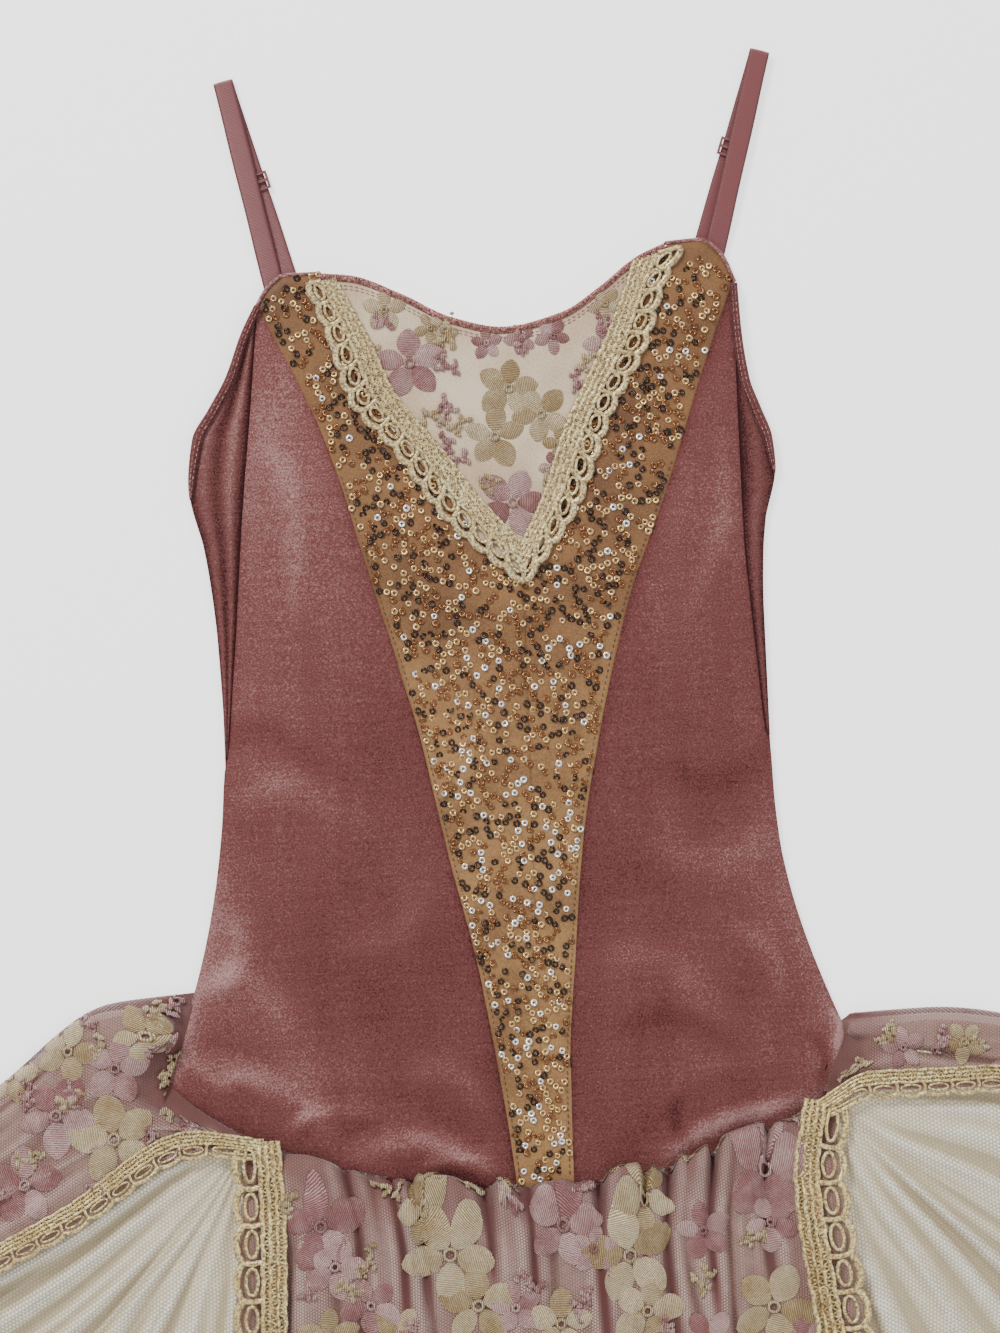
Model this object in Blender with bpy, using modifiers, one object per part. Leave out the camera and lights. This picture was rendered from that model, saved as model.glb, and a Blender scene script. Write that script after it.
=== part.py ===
"""Ballet dress, laid flat on its back with the front up.

A velvet bodice with a sequinned wedge, thin elastic straps and a gathered skirt: a split
overskirt of embroidered net over two layers of plain net. The tables are in millimetres, from the
middle of the front hip seam: +X is the viewer's right, +Y runs to the straps and +Z is up.
"""
import bpy
import bmesh
import numpy as np
from mathutils import Matrix

MM = 0.001

# Walls and clearances
VELVET = 1.5
NET = 1.2
LACE = 1.2
ELASTIC = 1.0
SEAM_GAP = 0.4
LAID_GAP = 0.5

# Bodice heights: underside of the front over the floor
SIDE_HEIGHT = 1.9
TOP_HEIGHT = 2.8
CROWN = 3.4

# Skirt heights
LAYER_STEP = NET + LAID_GAP
BACK_WAVES, BACK_WAVE = 9, 3.0
UNDER_WAVES, UNDER_WAVE = 17, 6.0
TOP_WAVES, TOP_WAVE = 28, 6.0
OVER_WAVES, OVER_WAVE, OVER_PHASE = 19, 12.0, 0.35
OPENING_WIDTH = 70.0
OVERSKIRT_REACH = 0.94
FOLD_ROUNDING = 13.0
LAYER_INSET = 7.5
STEEPEST_WAVE = 0.28

# Straps and their sliders
STRAP_WIDTH = 10.0
STRAP_TOP_HEIGHT = 3.4
STRAP_TUCK_HEIGHT = 1.95
SLIDER_WIDTH = 13.0
SLIDER_LENGTH = 9.0
SLIDER_THICKNESS = 1.2
SLIDER_WINDOW = (10.6, 2.6)

# Trims
BINDING_WIDTH = 6.0
PIPING_WIDTH = 3.2
GALLOON_WIDTH = 27.0
SIDE_GALLOON_WIDTH = 15.0
NECK_EYELETS = 14
ARM_ROWS = 7
SKIRT_EYELET_PITCH = 20.0

# Lines of the bodice, x and y, each from its top or left end
OUTLINE_LEFT = [(-123, 449), (-131, 434), (-140, 412), (-149, 397), (-158, 382), (-161, 358),
                (-154, 323), (-150, 277), (-149, 232), (-151, 202), (-157, 158), (-168, 113),
                (-178, 85), (-187, 62)]
OUTLINE_RIGHT = [(117, 449), (118, 425), (121, 400), (126, 385), (131, 370), (132, 356),
                 (125, 324), (123, 285), (123, 214), (125, 174), (130, 144), (139, 112),
                 (149, 85), (154.5, 71)]
CREASE_LEFT = [(-123, 441), (-129, 391), (-135, 342), (-141, 282), (-147.6, 224)]
CREASE_RIGHT = [(114, 441), (114.5, 385), (114.5, 330), (117, 279), (121, 224)]
SEQUIN_LEFT = [(-123, 447), (-118, 436), (-103, 405), (-90, 370), (-72, 305), (-53, 234),
               (-41, 172), (-27, 106), (-15.5, 21), (-14, 1)]
SEQUIN_RIGHT = [(116, 448), (110, 435), (95, 396), (77, 345), (56, 292), (38, 226), (27, 169),
                (20, 104), (16, 54), (15, 1)]
NOTCH_LEFT = [(-91, 461), (-77, 421), (-64, 392), (-47, 368), (-30, 346), (-15, 322), (4, 308)]
NOTCH_RIGHT = [(82, 467), (70, 440), (59, 415), (43, 388), (32, 362), (22, 335), (4, 308)]
NECKLINE = [(-91, 462), (-75, 460), (-51, 450), (-26, 437), (0, 431), (29, 437), (49, 449),
            (68, 463), (82, 469)]
CORNER_LEFT = [(-123, 447), (-117, 456), (-108, 462), (-91, 462)]
CORNER_RIGHT = [(82, 469), (99, 470), (110, 462), (116, 448)]
GALLOON_OUTER_LEFT = [(-99, 457), (-89, 430), (-80, 397), (-60, 373), (-35, 336), (4, 300)]
GALLOON_INNER_LEFT = [(-83, 459), (-67, 427), (-56, 401), (-34, 372), (-15, 345), (4, 323)]
GALLOON_OUTER_RIGHT = [(94, 468), (83, 451), (72, 419), (54, 388), (34, 340), (4, 300)]
GALLOON_INNER_RIGHT = [(66, 461), (58, 440), (42, 407), (28, 380), (15, 345), (4, 323)]
HIP_SEAM = [(-187, 62), (-170, 46), (-144, 30), (-100, 13), (-50, 3.5), (0, 0), (50, 4), (100, 17),
            (140, 38), (154.5, 71)]
BACK_SCOOP = [(-98, 404.5), (-84, 403), (-60, 376), (-10, 358), (45, 374), (73, 404), (88, 406)]

# Strap centre lines: front root, shoulder fold and back root
STRAPS = {
    "left": {"tuck": (-113, 452), "fold": (-134.5, 560), "guide": (-108, 465),
             "back": (-91.5, 405.5)},
    "right": {"tuck": (105, 457), "fold": (134, 563), "guide": (103, 472), "back": (80.5, 407)},
}
SLIDER_HEIGHT_ON_DRESS = {"left": 509.0, "right": 515.0}

# Line that the skirt is gathered to, from the left side fold to the right one
SKIRT_LINE = [(-178.5, 106), (-188, 82), (-196, 57), (-169, 40), (-144, 28.6), (-100, 12.7),
              (-50, 3.2), (0, -0.2), (50, 3.7), (100, 16.6), (143, 36), (159, 61), (158, 81)]

# Rays of the skirt: "knot" is the place on SKIRT_LINE, then x and y at each station to the hem
STATIONS = (0.12, 0.35, 0.65, 1.0)
RAYS = {
    "left fold": (0.0, (-212, 103), (-268, 66), (-345, 8), (-420, -45)),
    "left side": (2.0, (-222, 64), (-270, 32), (-340, -18), (-412, -72)),
    "left opening": (3.7, (-176, 32), (-232, 1), (-310, -38), (-394, -98)),
    "left fan": (3.9, (-166, 2), (-207, -52), (-262, -128), (-302, -212)),
    "left front": (4.05, (-142, -5), (-144, -72), (-149, -160), (-158, -262)),
    "middle left": (5.4, (-76, -28), (-78, -98), (-80, -186), (-82, -285)),
    "middle": (7.0, (0, -34), (0, -101), (1, -190), (2, -291)),
    "middle right": (8.6, (77, -24), (80, -93), (84, -181), (90, -280)),
    "right front": (9.95, (137, 3), (144, -64), (157, -150), (172, -248)),
    "right fan": (10.1, (166, 14), (216, -34), (278, -100), (330, -172)),
    "right opening": (10.3, (166, 46), (223, 47), (302, 7), (386, -66)),
    "right fold": (12.0, (196, 82), (257, 71), (336, 34), (420, -26)),
}


def slopes(knots, values):
    """Slopes at the knots that never overshoot: the harmonic mean of the two sides, or none."""
    secants = np.diff(values, axis=0) / np.diff(knots)[:, None]
    products = secants[:-1] * secants[1:]
    sums = np.where(products > 0, secants[:-1] + secants[1:], 1.0)
    inner = np.where(products > 0, 2 * products / sums, 0.0)
    return np.concatenate([secants[:1], inner, secants[-1:]])


def between(knots, values, places):
    """Values of the smooth curve through the knots, at the given places."""
    knots = np.asarray(knots, float)
    values = np.asarray(values, float)
    flat = values.reshape(len(knots), -1)
    steep = slopes(knots, flat)
    places = np.clip(places, knots[0], knots[-1])
    left = np.clip(np.searchsorted(knots, places, side="right") - 1, 0, len(knots) - 2)
    span = (knots[left + 1] - knots[left])[:, None]
    t = (places - knots[left])[:, None] / span
    near = (1 + 2 * t) * (1 - t) ** 2 * flat[left] + t * (1 - t) ** 2 * span * steep[left]
    far = t**2 * (3 - 2 * t) * flat[left + 1] - t**2 * (1 - t) * span * steep[left + 1]
    return (near + far).reshape((len(places),) + values.shape[1:])


def lengths(points):
    """Distance along a line at each of its points."""
    steps = np.linalg.norm(np.diff(np.asarray(points, float), axis=0), axis=1)
    return np.concatenate([[0.0], np.cumsum(steps)])


def at(table, fractions):
    """Points of the smooth line through a table, at fractions of its length."""
    along = lengths(table)
    return between(along / along[-1], table, fractions)


def line(table, count, start=0.0, stop=1.0):
    """Evenly spaced points of that line, between two fractions of its length."""
    return at(table, np.linspace(start, stop, count))


def fraction_at(table, y):
    """Fraction of a falling line's length at a height."""
    fine = line(table, 400)
    return float(np.interp(-y, -fine[:, 1], np.linspace(0, 1, 400)))


def smoothstep(value, low, high):
    t = np.clip((value - low) / (high - low), 0, 1)
    return t * t * (3 - 2 * t)


def front_height(x, y):
    """Underside of the bodice's front: a low crown between its outlines that flattens at the neck."""
    left = line(OUTLINE_LEFT, 60)[::-1]
    right = line(OUTLINE_RIGHT, 60)[::-1]
    x_left = np.interp(y, left[:, 1], left[:, 0])
    x_right = np.interp(y, right[:, 1], right[:, 0])
    across = np.clip((2 * x - x_left - x_right) / (x_right - x_left), -1, 1)
    edge = SIDE_HEIGHT + (TOP_HEIGHT - SIDE_HEIGHT) * smoothstep(y, 375, 435)
    crown = CROWN * (1 - 0.85 * smoothstep(y, 330, 445))
    return edge + crown * (1 - across**4)


def patch(bottom, top, left, right):
    """Grid that fills four edge lines: the blends of its two pairs of edges, less that of its corners."""
    u = np.linspace(0, 1, len(bottom))[None, :, None]
    v = np.linspace(0, 1, len(left))[:, None, None]
    sides = left[:, None] * (1 - u) + right[:, None] * u
    ends = bottom[None] * (1 - v) + top[None] * v
    low = (1 - u) * bottom[0] + u * bottom[-1]
    high = (1 - u) * top[0] + u * top[-1]
    return sides + ends - (1 - v) * low - v * high


def drawn_in(grid, edges, amount=SEAM_GAP):
    """The grid with its named edges moved inwards, which leaves the gap of a seam."""
    grid = grid.copy()
    pairs = {"left": (np.s_[:, 0], np.s_[:, 1]), "right": (np.s_[:, -1], np.s_[:, -2]),
             "bottom": (np.s_[0], np.s_[1]), "top": (np.s_[-1], np.s_[-2])}
    for edge in edges:
        rim, inner = pairs[edge]
        way = grid[inner] - grid[rim]
        size = np.maximum(np.linalg.norm(way, axis=1, keepdims=True), 1e-6)
        grid[rim] += way / size * np.minimum(amount, size * 0.4)
    return grid


def raised(grid, height):
    """A grid of x and y lifted to the height that a function gives."""
    return np.dstack([grid, height(grid[..., 0], grid[..., 1])])


def quads(rows, columns):
    corner = np.arange((rows - 1) * columns).reshape(rows - 1, columns)[:, :-1].ravel()
    return np.column_stack([corner, corner + 1, corner + columns + 1, corner + columns])


def material(name, colour, roughness, metallic=0.0):
    made = bpy.data.materials.new(name)
    made.use_nodes = True
    shader = made.node_tree.nodes["Principled BSDF"]
    shader.inputs["Base Color"].default_value = (*colour, 1)
    shader.inputs["Roughness"].default_value = roughness
    shader.inputs["Metallic"].default_value = metallic
    made.diffuse_color = (*colour, 1)
    return made


def cloth(name, points, faces, finish, wall, offset=1.0):
    """An object from an open surface in millimetres, thickened upwards by a Solidify modifier."""
    mesh = bpy.data.meshes.new(name)
    mesh.from_pydata((np.asarray(points) * MM).tolist(), [], np.asarray(faces).tolist())
    shape = bmesh.new()
    shape.from_mesh(mesh)
    bmesh.ops.remove_doubles(shape, verts=shape.verts, dist=0.02 * MM)
    bmesh.ops.recalc_face_normals(shape, faces=shape.faces)
    if sum(face.normal.z * face.calc_area() for face in shape.faces) < 0:
        bmesh.ops.reverse_faces(shape, faces=shape.faces)
    shape.to_mesh(mesh)
    shape.free()
    mesh.shade_smooth()
    mesh.materials.append(finish)
    made = bpy.data.objects.new(name, mesh)
    pieces.objects.link(made)
    made.parent = root
    thickness = made.modifiers.new("Wall", "SOLIDIFY")
    thickness.thickness = wall * MM
    thickness.offset = offset
    return made


def sheet(name, grid, finish, wall, offset=1.0):
    rows, columns = grid.shape[:2]
    return cloth(name, grid.reshape(-1, 3), quads(rows, columns), finish, wall, offset)


def sheets(name, grids, finish, wall):
    """One object from grids that share an edge, which its merge joins."""
    points = np.concatenate([grid.reshape(-1, 3) for grid in grids])
    starts = np.cumsum([0] + [grid.shape[0] * grid.shape[1] for grid in grids[:-1]])
    faces = np.concatenate([quads(*grid.shape[:2]) + start for grid, start in zip(grids, starts)])
    return cloth(name, points, faces, finish, wall)


def seam_between(start_x, stop_x, count):
    """Points of the hip seam from one x to another."""
    fine = line(HIP_SEAM, 400)
    along = np.interp([start_x, stop_x], fine[:, 0], np.linspace(0, 1, 400))
    return line(HIP_SEAM, count, *along)


def bodice_back():
    """The back lies flat on the floor; its armholes rise from the underarms to the strap roots."""
    rows = 12
    underarm_left = fraction_at(OUTLINE_LEFT, 358)
    underarm_right = fraction_at(OUTLINE_RIGHT, 358)
    armhole_left = np.array([(-160.5, 360), (-134, 374), (-112, 392), BACK_SCOOP[0]])
    armhole_right = np.array([(131.6, 358), (112, 374), (96, 392), BACK_SCOOP[-1]])
    left = np.concatenate([line(OUTLINE_LEFT, rows, 1, underarm_left), armhole_left[1:]])
    right = np.concatenate([line(OUTLINE_RIGHT, rows, 1, underarm_right), armhole_right[1:]])
    top = line(BACK_SCOOP, 11)
    bottom = seam_between(left[0, 0], right[0, 0], 11)
    grid = drawn_in(patch(bottom, top, left, right), ("left", "right", "bottom"))
    sheet("bodice_back", raised(grid, lambda x, y: 0 * x), velvet, VELVET)


def velvet_front(side, outline, crease, wedge, rows=15, columns=8):
    """A front panel between the crease at the side and the sequinned wedge, down to the hip seam."""
    merge = fraction_at(outline, 216)
    outer = np.concatenate([line(crease, 8), line(outline, rows - 8, merge, 1)])
    inner = line(wedge, rows, fraction_at(wedge, 428), 1)
    bottom = seam_between(outer[-1, 0], inner[-1, 0], columns)
    outer[-1] = bottom[0]
    inner[-1] = bottom[-1]
    top = np.linspace(outer[0], inner[0], columns)
    grid = drawn_in(patch(bottom, top, outer[::-1], inner[::-1]), ("left", "right", "bottom", "top"))
    sheet("velvet_front_" + side, raised(grid, front_height), velvet, VELVET)


def side_panel(side, outline, crease, way, flutes, columns):
    """The velvet that turns under the arm: a crescent with upright flutes beside the crease."""
    rows = 8
    outer = line(outline, rows, fraction_at(outline, 441), fraction_at(outline, 222))[::-1]
    inner = line(crease, rows)[::-1] + (way * SEAM_GAP, 0)
    bottom = np.linspace(outer[0], inner[0], columns)
    top = np.linspace(outer[-1], inner[-1], columns)
    grid = drawn_in(patch(bottom, top, outer, inner), ("left", "right", "bottom", "top"))
    solid = raised(grid, front_height)
    across = np.linspace(0, 1, columns)[None, :]
    width = np.linalg.norm(grid[:, 0] - grid[:, -1], axis=1)[:, None]
    depth = np.minimum(1.3, width * 0.05)
    solid[..., 2] += depth * (0.5 - 0.5 * np.cos(2 * np.pi * flutes * across))
    sheet("side_panel_" + side, solid, velvet_shade, VELVET)


def armhole_binding(side, outline, way, flute):
    """A turned edge that lies on the side panel from the strap's root to the underarm."""
    edge = line(outline, 9, fraction_at(outline, 437), fraction_at(outline, 352))
    run = np.gradient(edge, axis=0)
    normal = np.column_stack([run[:, 1], -run[:, 0]]) / np.linalg.norm(run, axis=1, keepdims=True)
    width = np.linspace(BINDING_WIDTH * 0.6, BINDING_WIDTH, len(edge))[:, None]
    inner = edge - way * normal * width
    grid = np.stack([edge, (edge + inner) / 2, inner], axis=1)
    solid = raised(grid, front_height)
    solid[..., 2] += VELVET + LAID_GAP + flute
    sheet("armhole_binding_" + side, solid, velvet_shade, LACE)


def sequin_panel():
    """The wedge: two arms beside the V and a tongue down to the seam, joined on its middle line."""
    rows, columns = 15, 4
    halves = []
    for wedge, notch, corner in (
        (SEQUIN_LEFT, NOTCH_LEFT, line(CORNER_LEFT, columns)),
        (SEQUIN_RIGHT, NOTCH_RIGHT, line(CORNER_RIGHT, columns)[::-1]),
    ):
        outer = line(wedge, rows)
        arm = line(notch, ARM_ROWS)
        middle = np.linspace(arm[-1], (0.5, 0.4), rows - ARM_ROWS + 1)
        inner = np.concatenate([arm, middle[1:]])
        bottom = np.linspace(outer[-1], inner[-1], columns)
        corner[0], corner[-1] = outer[0], inner[0]
        grid = patch(bottom, corner, outer[::-1], inner[::-1])
        shrunk = drawn_in(grid, ("left", "bottom"))
        shrunk[rows - ARM_ROWS + 1:, -1] = drawn_in(grid, ("right",))[rows - ARM_ROWS + 1:, -1]
        halves.append(raised(shrunk, front_height))
    sheets("sequin_panel", halves, sequin_mesh, VELVET)


def neck_insert():
    """The mesh in the V, below the piping, gathered to the V's point."""
    columns = 11
    sides = [line(NOTCH_LEFT, ARM_ROWS), line(NOTCH_RIGHT, ARM_ROWS)]
    for side in sides:
        side[0] += 0.3 * (side[1] - side[0])
        side[-1] += 0.3 * (side[-2] - side[-1])
    left, right = sides
    top = line(NECKLINE, columns, 0.02, 0.98) - (0, PIPING_WIDTH + 1.2)
    top[0], top[-1] = left[0], right[0]
    bottom = np.linspace(left[-1], right[-1], columns)
    grid = drawn_in(patch(bottom, top, left[::-1], right[::-1]), ("left", "right"), 0.9)
    sheet("neck_insert", raised(grid, front_height), nude_mesh, VELVET)


def neckline_binding():
    """Piping along the top of the insert, between the two arms of the galloon."""
    edge = line(NECKLINE, 17, 0.1, 0.9)
    grid = np.stack([edge - (0, PIPING_WIDTH), edge], axis=0)
    sheet("neckline_binding", raised(grid, front_height), piping, VELVET)


def lace(place, cells):
    """Points and faces of a galloon with a six-sided eyelet and one scallop in each cell.

    place turns cells along and a fraction across into points; 0 across is the straight edge.
    """
    edge_u = np.arange(2 * cells + 1) / 2
    scallop = np.where(np.arange(2 * cells + 1) % 2 == 1, 1.06, 0.9)
    hole_u = np.array([0.24, 0.5, 0.76, 0.76, 0.5, 0.24])
    hole_v = np.array([0.5, 0.44, 0.5, 0.72, 0.8, 0.72])
    u = np.concatenate([edge_u, edge_u] + [hole_u + cell for cell in range(cells)])
    v = np.concatenate([0 * edge_u, scallop, np.tile(hole_v, cells)])
    faces = []
    top = len(edge_u)
    for cell in range(cells):
        low, high, hole = 2 * cell, top + 2 * cell, 2 * top + 6 * cell
        ring = (low, low + 1, low + 2, high + 2, high + 1, high)
        for side in range(6):
            after = (side + 1) % 6
            faces.append((ring[side], ring[after], hole + after, hole + side))
    return place(u, v), faces


def neck_galloon():
    """Both arms of the galloon over the V's seam, mitred below its point."""
    points, faces = [], []
    for inner, outer in (
        (GALLOON_INNER_LEFT, GALLOON_OUTER_LEFT),
        (GALLOON_INNER_RIGHT, GALLOON_OUTER_RIGHT),
    ):
        def place(u, v, inner=inner, outer=outer):
            along = u / NECK_EYELETS
            across = np.where((u == NECK_EYELETS) & (v > 0.5), 1.0, v)[:, None]
            flat = at(inner, along) * (1 - across) + at(outer, along) * across
            height = front_height(flat[:, 0], flat[:, 1]) + VELVET + LAID_GAP
            return np.column_stack([flat, height])

        arm, arm_faces = lace(place, NECK_EYELETS)
        faces.append(np.array(arm_faces) + sum(len(part) for part in points))
        points.append(arm)
    cloth("neck_galloon", np.concatenate(points), np.concatenate(faces), gold, LACE)


def strap(side):
    """Flat elastic in one length: tucked front root, shoulder fold and back leg on the floor."""
    tuck, fold, guide, back = (np.array(point, float) for point in STRAPS[side].values())
    down = (guide - fold) / np.linalg.norm(guide - fold)
    up = (fold - tuck) / np.linalg.norm(fold - tuck)
    front = [tuck + share * (fold - tuck) for share in (0, 0.09, 0.25, 0.6)]
    front_z = [STRAP_TUCK_HEIGHT, STRAP_TUCK_HEIGHT, STRAP_TOP_HEIGHT, STRAP_TOP_HEIGHT]
    floor = ELASTIC / 2
    radius = (STRAP_TOP_HEIGHT - floor) / 2
    turns = np.radians(np.linspace(90, -90, 7))
    bend = [fold - up * radius + up * radius * np.cos(turn) for turn in turns]
    bend_z = [floor + radius + radius * np.sin(turn) for turn in turns]
    rear = [fold - up * radius + (guide - fold) * 0.4, guide, back]
    centre = np.array(front + bend + rear)
    heights = np.array(front_z + bend_z + [floor] * len(rear))
    aim_front = np.array([up[1], -up[0]])
    aim_back = np.array([-down[1], down[0]])
    share = np.concatenate([np.zeros(len(front)), np.linspace(0, 1, len(bend)), np.ones(len(rear))])
    across = aim_front * (1 - share[:, None]) + aim_back * share[:, None]
    grid = np.stack([centre - across * STRAP_WIDTH / 2, centre + across * STRAP_WIDTH / 2], axis=1)
    ribbon = np.dstack([grid, np.repeat(heights[:, None], 2, axis=1)])
    sheet("strap_" + side, ribbon, elastic, ELASTIC, offset=0.0)


def box(name, size, centre, angle):
    bpy.ops.mesh.primitive_cube_add(size=1)
    made = bpy.context.object
    made.name = name
    made.data.transform(Matrix.Diagonal((*(np.array(size) * MM), 1.0)))
    made.location = np.array(centre) * MM
    made.rotation_euler.z = angle
    made.parent = root
    for held in list(made.users_collection):
        held.objects.unlink(made)
    return made


def slider(side):
    """A figure-eight adjuster with two windows, flat on the back leg of the strap."""
    fold, guide = (np.array(STRAPS[side][key], float) for key in ("fold", "guide"))
    down = (guide - fold) / np.linalg.norm(guide - fold)
    angle = np.arctan2(down[0], -down[1])
    centre = fold + down * (fold[1] - SLIDER_HEIGHT_ON_DRESS[side]) / -down[1]
    height = ELASTIC + LAID_GAP / 2 + SLIDER_THICKNESS / 2
    size = (SLIDER_WIDTH, SLIDER_LENGTH, SLIDER_THICKNESS)
    frame = box("strap_slider_" + side, size, (*centre, height), angle)
    pieces.objects.link(frame)
    frame.data.materials.append(slider_finish)
    opening = (*SLIDER_WINDOW, 4 * SLIDER_THICKNESS)
    for place, way in (("upper", 1), ("lower", -1)):
        middle = centre + down * way * SLIDER_LENGTH * 0.22
        window = box(f"window_{place}_{side}", opening, (*middle, height), angle)
        cutters.objects.link(window)
        window.hide_render = True
        window.display_type = "WIRE"
        cut = frame.modifiers.new(window.name, "BOOLEAN")
        cut.object = window
        cut.solver = "EXACT"


def fan(f, r):
    """Points of the skirt laid out: f runs from the left fold (0) to the right one (1), r to the hem.

    f has a row for each value of r. A ray's start slides on the skirt's line, and its other
    stations are blended between the neighbouring rays in the table.
    """
    starts = between(np.arange(len(SKIRT_LINE)), SKIRT_LINE, RAY_KNOTS)
    rays = np.array([[start, *ray[1:]] for start, ray in zip(starts, RAYS.values())])
    grid = np.empty(f.shape + (2,))
    for row, (places, reach) in enumerate(zip(f, r)):
        knots = between(RAY_PLACES, RAY_KNOTS[:, None], places)[:, 0]
        seam = between(np.arange(len(SKIRT_LINE)), SKIRT_LINE, knots)
        offsets = between(RAY_PLACES, rays - rays[:, :1], places)
        moved = between((0.0, *STATIONS), np.moveaxis(offsets, 1, 0), np.array([reach]))[0]
        grid[row] = seam + moved
    return grid


def fold_scale(r, fold):
    """Millimetres for each unit of f beside a side fold, for each row."""
    step = 0.01
    column = np.full((len(r), 1), float(fold))
    near = fan(column + (step if fold == 0 else -step), r)
    return np.linalg.norm(near - fan(column, r), axis=2) / step


def inside(f, r):
    """Distance of each point from the nearer side fold."""
    flat = fan(f, r)
    folds = [fan(np.full((len(r), 1), float(fold)), r) for fold in (0, 1)]
    return np.minimum(*(np.linalg.norm(flat - fold, axis=2) for fold in folds))


def lift(f, r):
    """How far the gathers open: nothing at the seam and at the side folds, all of it on the skirt."""
    rise = 1 - (1 - np.clip(r, 0, 1)) ** 3
    return rise[:, None] * smoothstep(inside(f, r), 0, OPENING_WIDTH)


def gathers(f, r, waves, height, phase, firm_edges=()):
    """Waves across the skirt, lower where gathers are tight and level under a galloon."""
    scale = np.linalg.norm(fan(f + 0.002, r) - fan(f - 0.002, r), axis=2) / 0.004
    opened = height * lift(f, r)
    size = np.minimum(opened, STEEPEST_WAVE * scale / waves)
    swing = -0.5 * np.cos(2 * np.pi * (waves * f + phase))
    for edge in firm_edges:
        swing = swing * smoothstep(np.abs(f - edge) * scale, 22, 42)
    return 0.5 * opened + size * swing


def back_height(f, r, order):
    return order * LAYER_STEP + gathers(f, r, BACK_WAVES, BACK_WAVE, 0.0)


def front_layer_height(f, r, order, base, waves, height, phase, firm_edges=()):
    """Underside of a front layer: stacked on the others, rounded down to its back at the folds."""
    reach = inside(f, r) - LAYER_INSET * (5 - order)
    depth = np.clip(reach, 0, FOLD_ROUNDING) / FOLD_ROUNDING
    fold = (6 - order) * LAYER_STEP
    stacked = fold + (order * LAYER_STEP - fold) * np.sqrt(1 - (1 - depth) ** 2)
    return stacked + lift(f, r) * base + gathers(f, r, waves, height, phase, firm_edges)


def whole_width(count, r, inset):
    """Places of a layer's columns in each row: some beside each side fold, the others even."""
    beside = inset + np.array([[0.0, 4.0, 9.0]])
    left = fold_scale(r, 0)
    right = fold_scale(r, 1)
    first, last = 26 / left, 1 - 26 / right
    even = np.interp(np.linspace(0, 1, count + 1), COLUMN_SHARE, FINE_PLACES)
    even[np.abs(even - RAY_PLACES[1]).argmin()] = RAY_PLACES[1]
    even = first + (last - first) * even[None, :]
    return np.concatenate([beside / left, even, 1 - beside[:, ::-1] / right], axis=1)


def part_width(count, r, start, stop):
    return np.repeat(np.linspace(start, stop, count + 1)[None, :], len(r), axis=0)


def skirt_sheet(name, rows, places, height, finish):
    r = np.array(rows)
    f = places(r)
    sheet(name, np.dstack([fan(f, r), height(f, r)]), finish, NET)


def over_height(f, r):
    base = BACK_WAVE + UNDER_WAVE + TOP_WAVE
    return front_layer_height(f, r, 5, base, OVER_WAVES, OVER_WAVE, OVER_PHASE, FIRM_EDGES)


def top_height(f, r):
    return front_layer_height(f, r, 4, BACK_WAVE + UNDER_WAVE, TOP_WAVES, TOP_WAVE, 0.2)


def under_height(f, r):
    return front_layer_height(f, r, 3, BACK_WAVE, UNDER_WAVES, UNDER_WAVE, 0.0)


def skirt():
    """Four overskirt panels and two layers of plain net, each with a front and a back."""
    over = (0, 0.04, 0.12, 0.3, 0.6, OVERSKIRT_REACH)
    fine = (*over[:-1], 1)
    plain = (0, 0.08, 0.28, 0.6, 1)
    backs = ("overskirt_back", mauve_net), ("tulle_top_back", cream_net), ("tulle_under_back", cream_net)
    for order, (name, finish) in enumerate(backs):
        rows = (0, 0.12, 0.45, 1 if order else OVERSKIRT_REACH)
        skirt_sheet(name, rows, lambda r: whole_width(36, r, order * LAYER_INSET),
                    lambda f, r: back_height(f, r, order), finish)
    skirt_sheet("tulle_under_front", plain, lambda r: whole_width(4 * UNDER_WAVES, r, 2 * LAYER_INSET),
                under_height, cream_net)
    skirt_sheet("tulle_top_front", fine, lambda r: whole_width(4 * TOP_WAVES, r, LAYER_INSET),
                top_height, cream_net)
    edges = {name: RAY_PLACES[list(RAYS).index(name)] for name in RAYS}
    for name, count, first, last in (
        ("overskirt_left", 16, "left fold", "left opening"),
        ("overskirt_front", 40, "left front", "right front"),
        ("overskirt_right", 8, "right opening", "right fold"),
    ):
        skirt_sheet(name, over, lambda r: part_width(count, r, edges[first], edges[last]),
                    over_height, mauve_net)
    for name, ray, start, way, panel_way in (
        ("skirt_galloon_front_left", "left front", 0.05, -1, 1),
        ("skirt_galloon_front_right", "right front", 0.05, 1, -1),
        ("skirt_galloon_side_left", "left opening", 0.16, 1, -1),
        ("skirt_galloon_side_right", "right opening", 0.16, -1, 1),
    ):
        width = SIDE_GALLOON_WIDTH if "side" in name else GALLOON_WIDTH
        skirt_galloon(name, edges[ray], start, way, panel_way, width)


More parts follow.
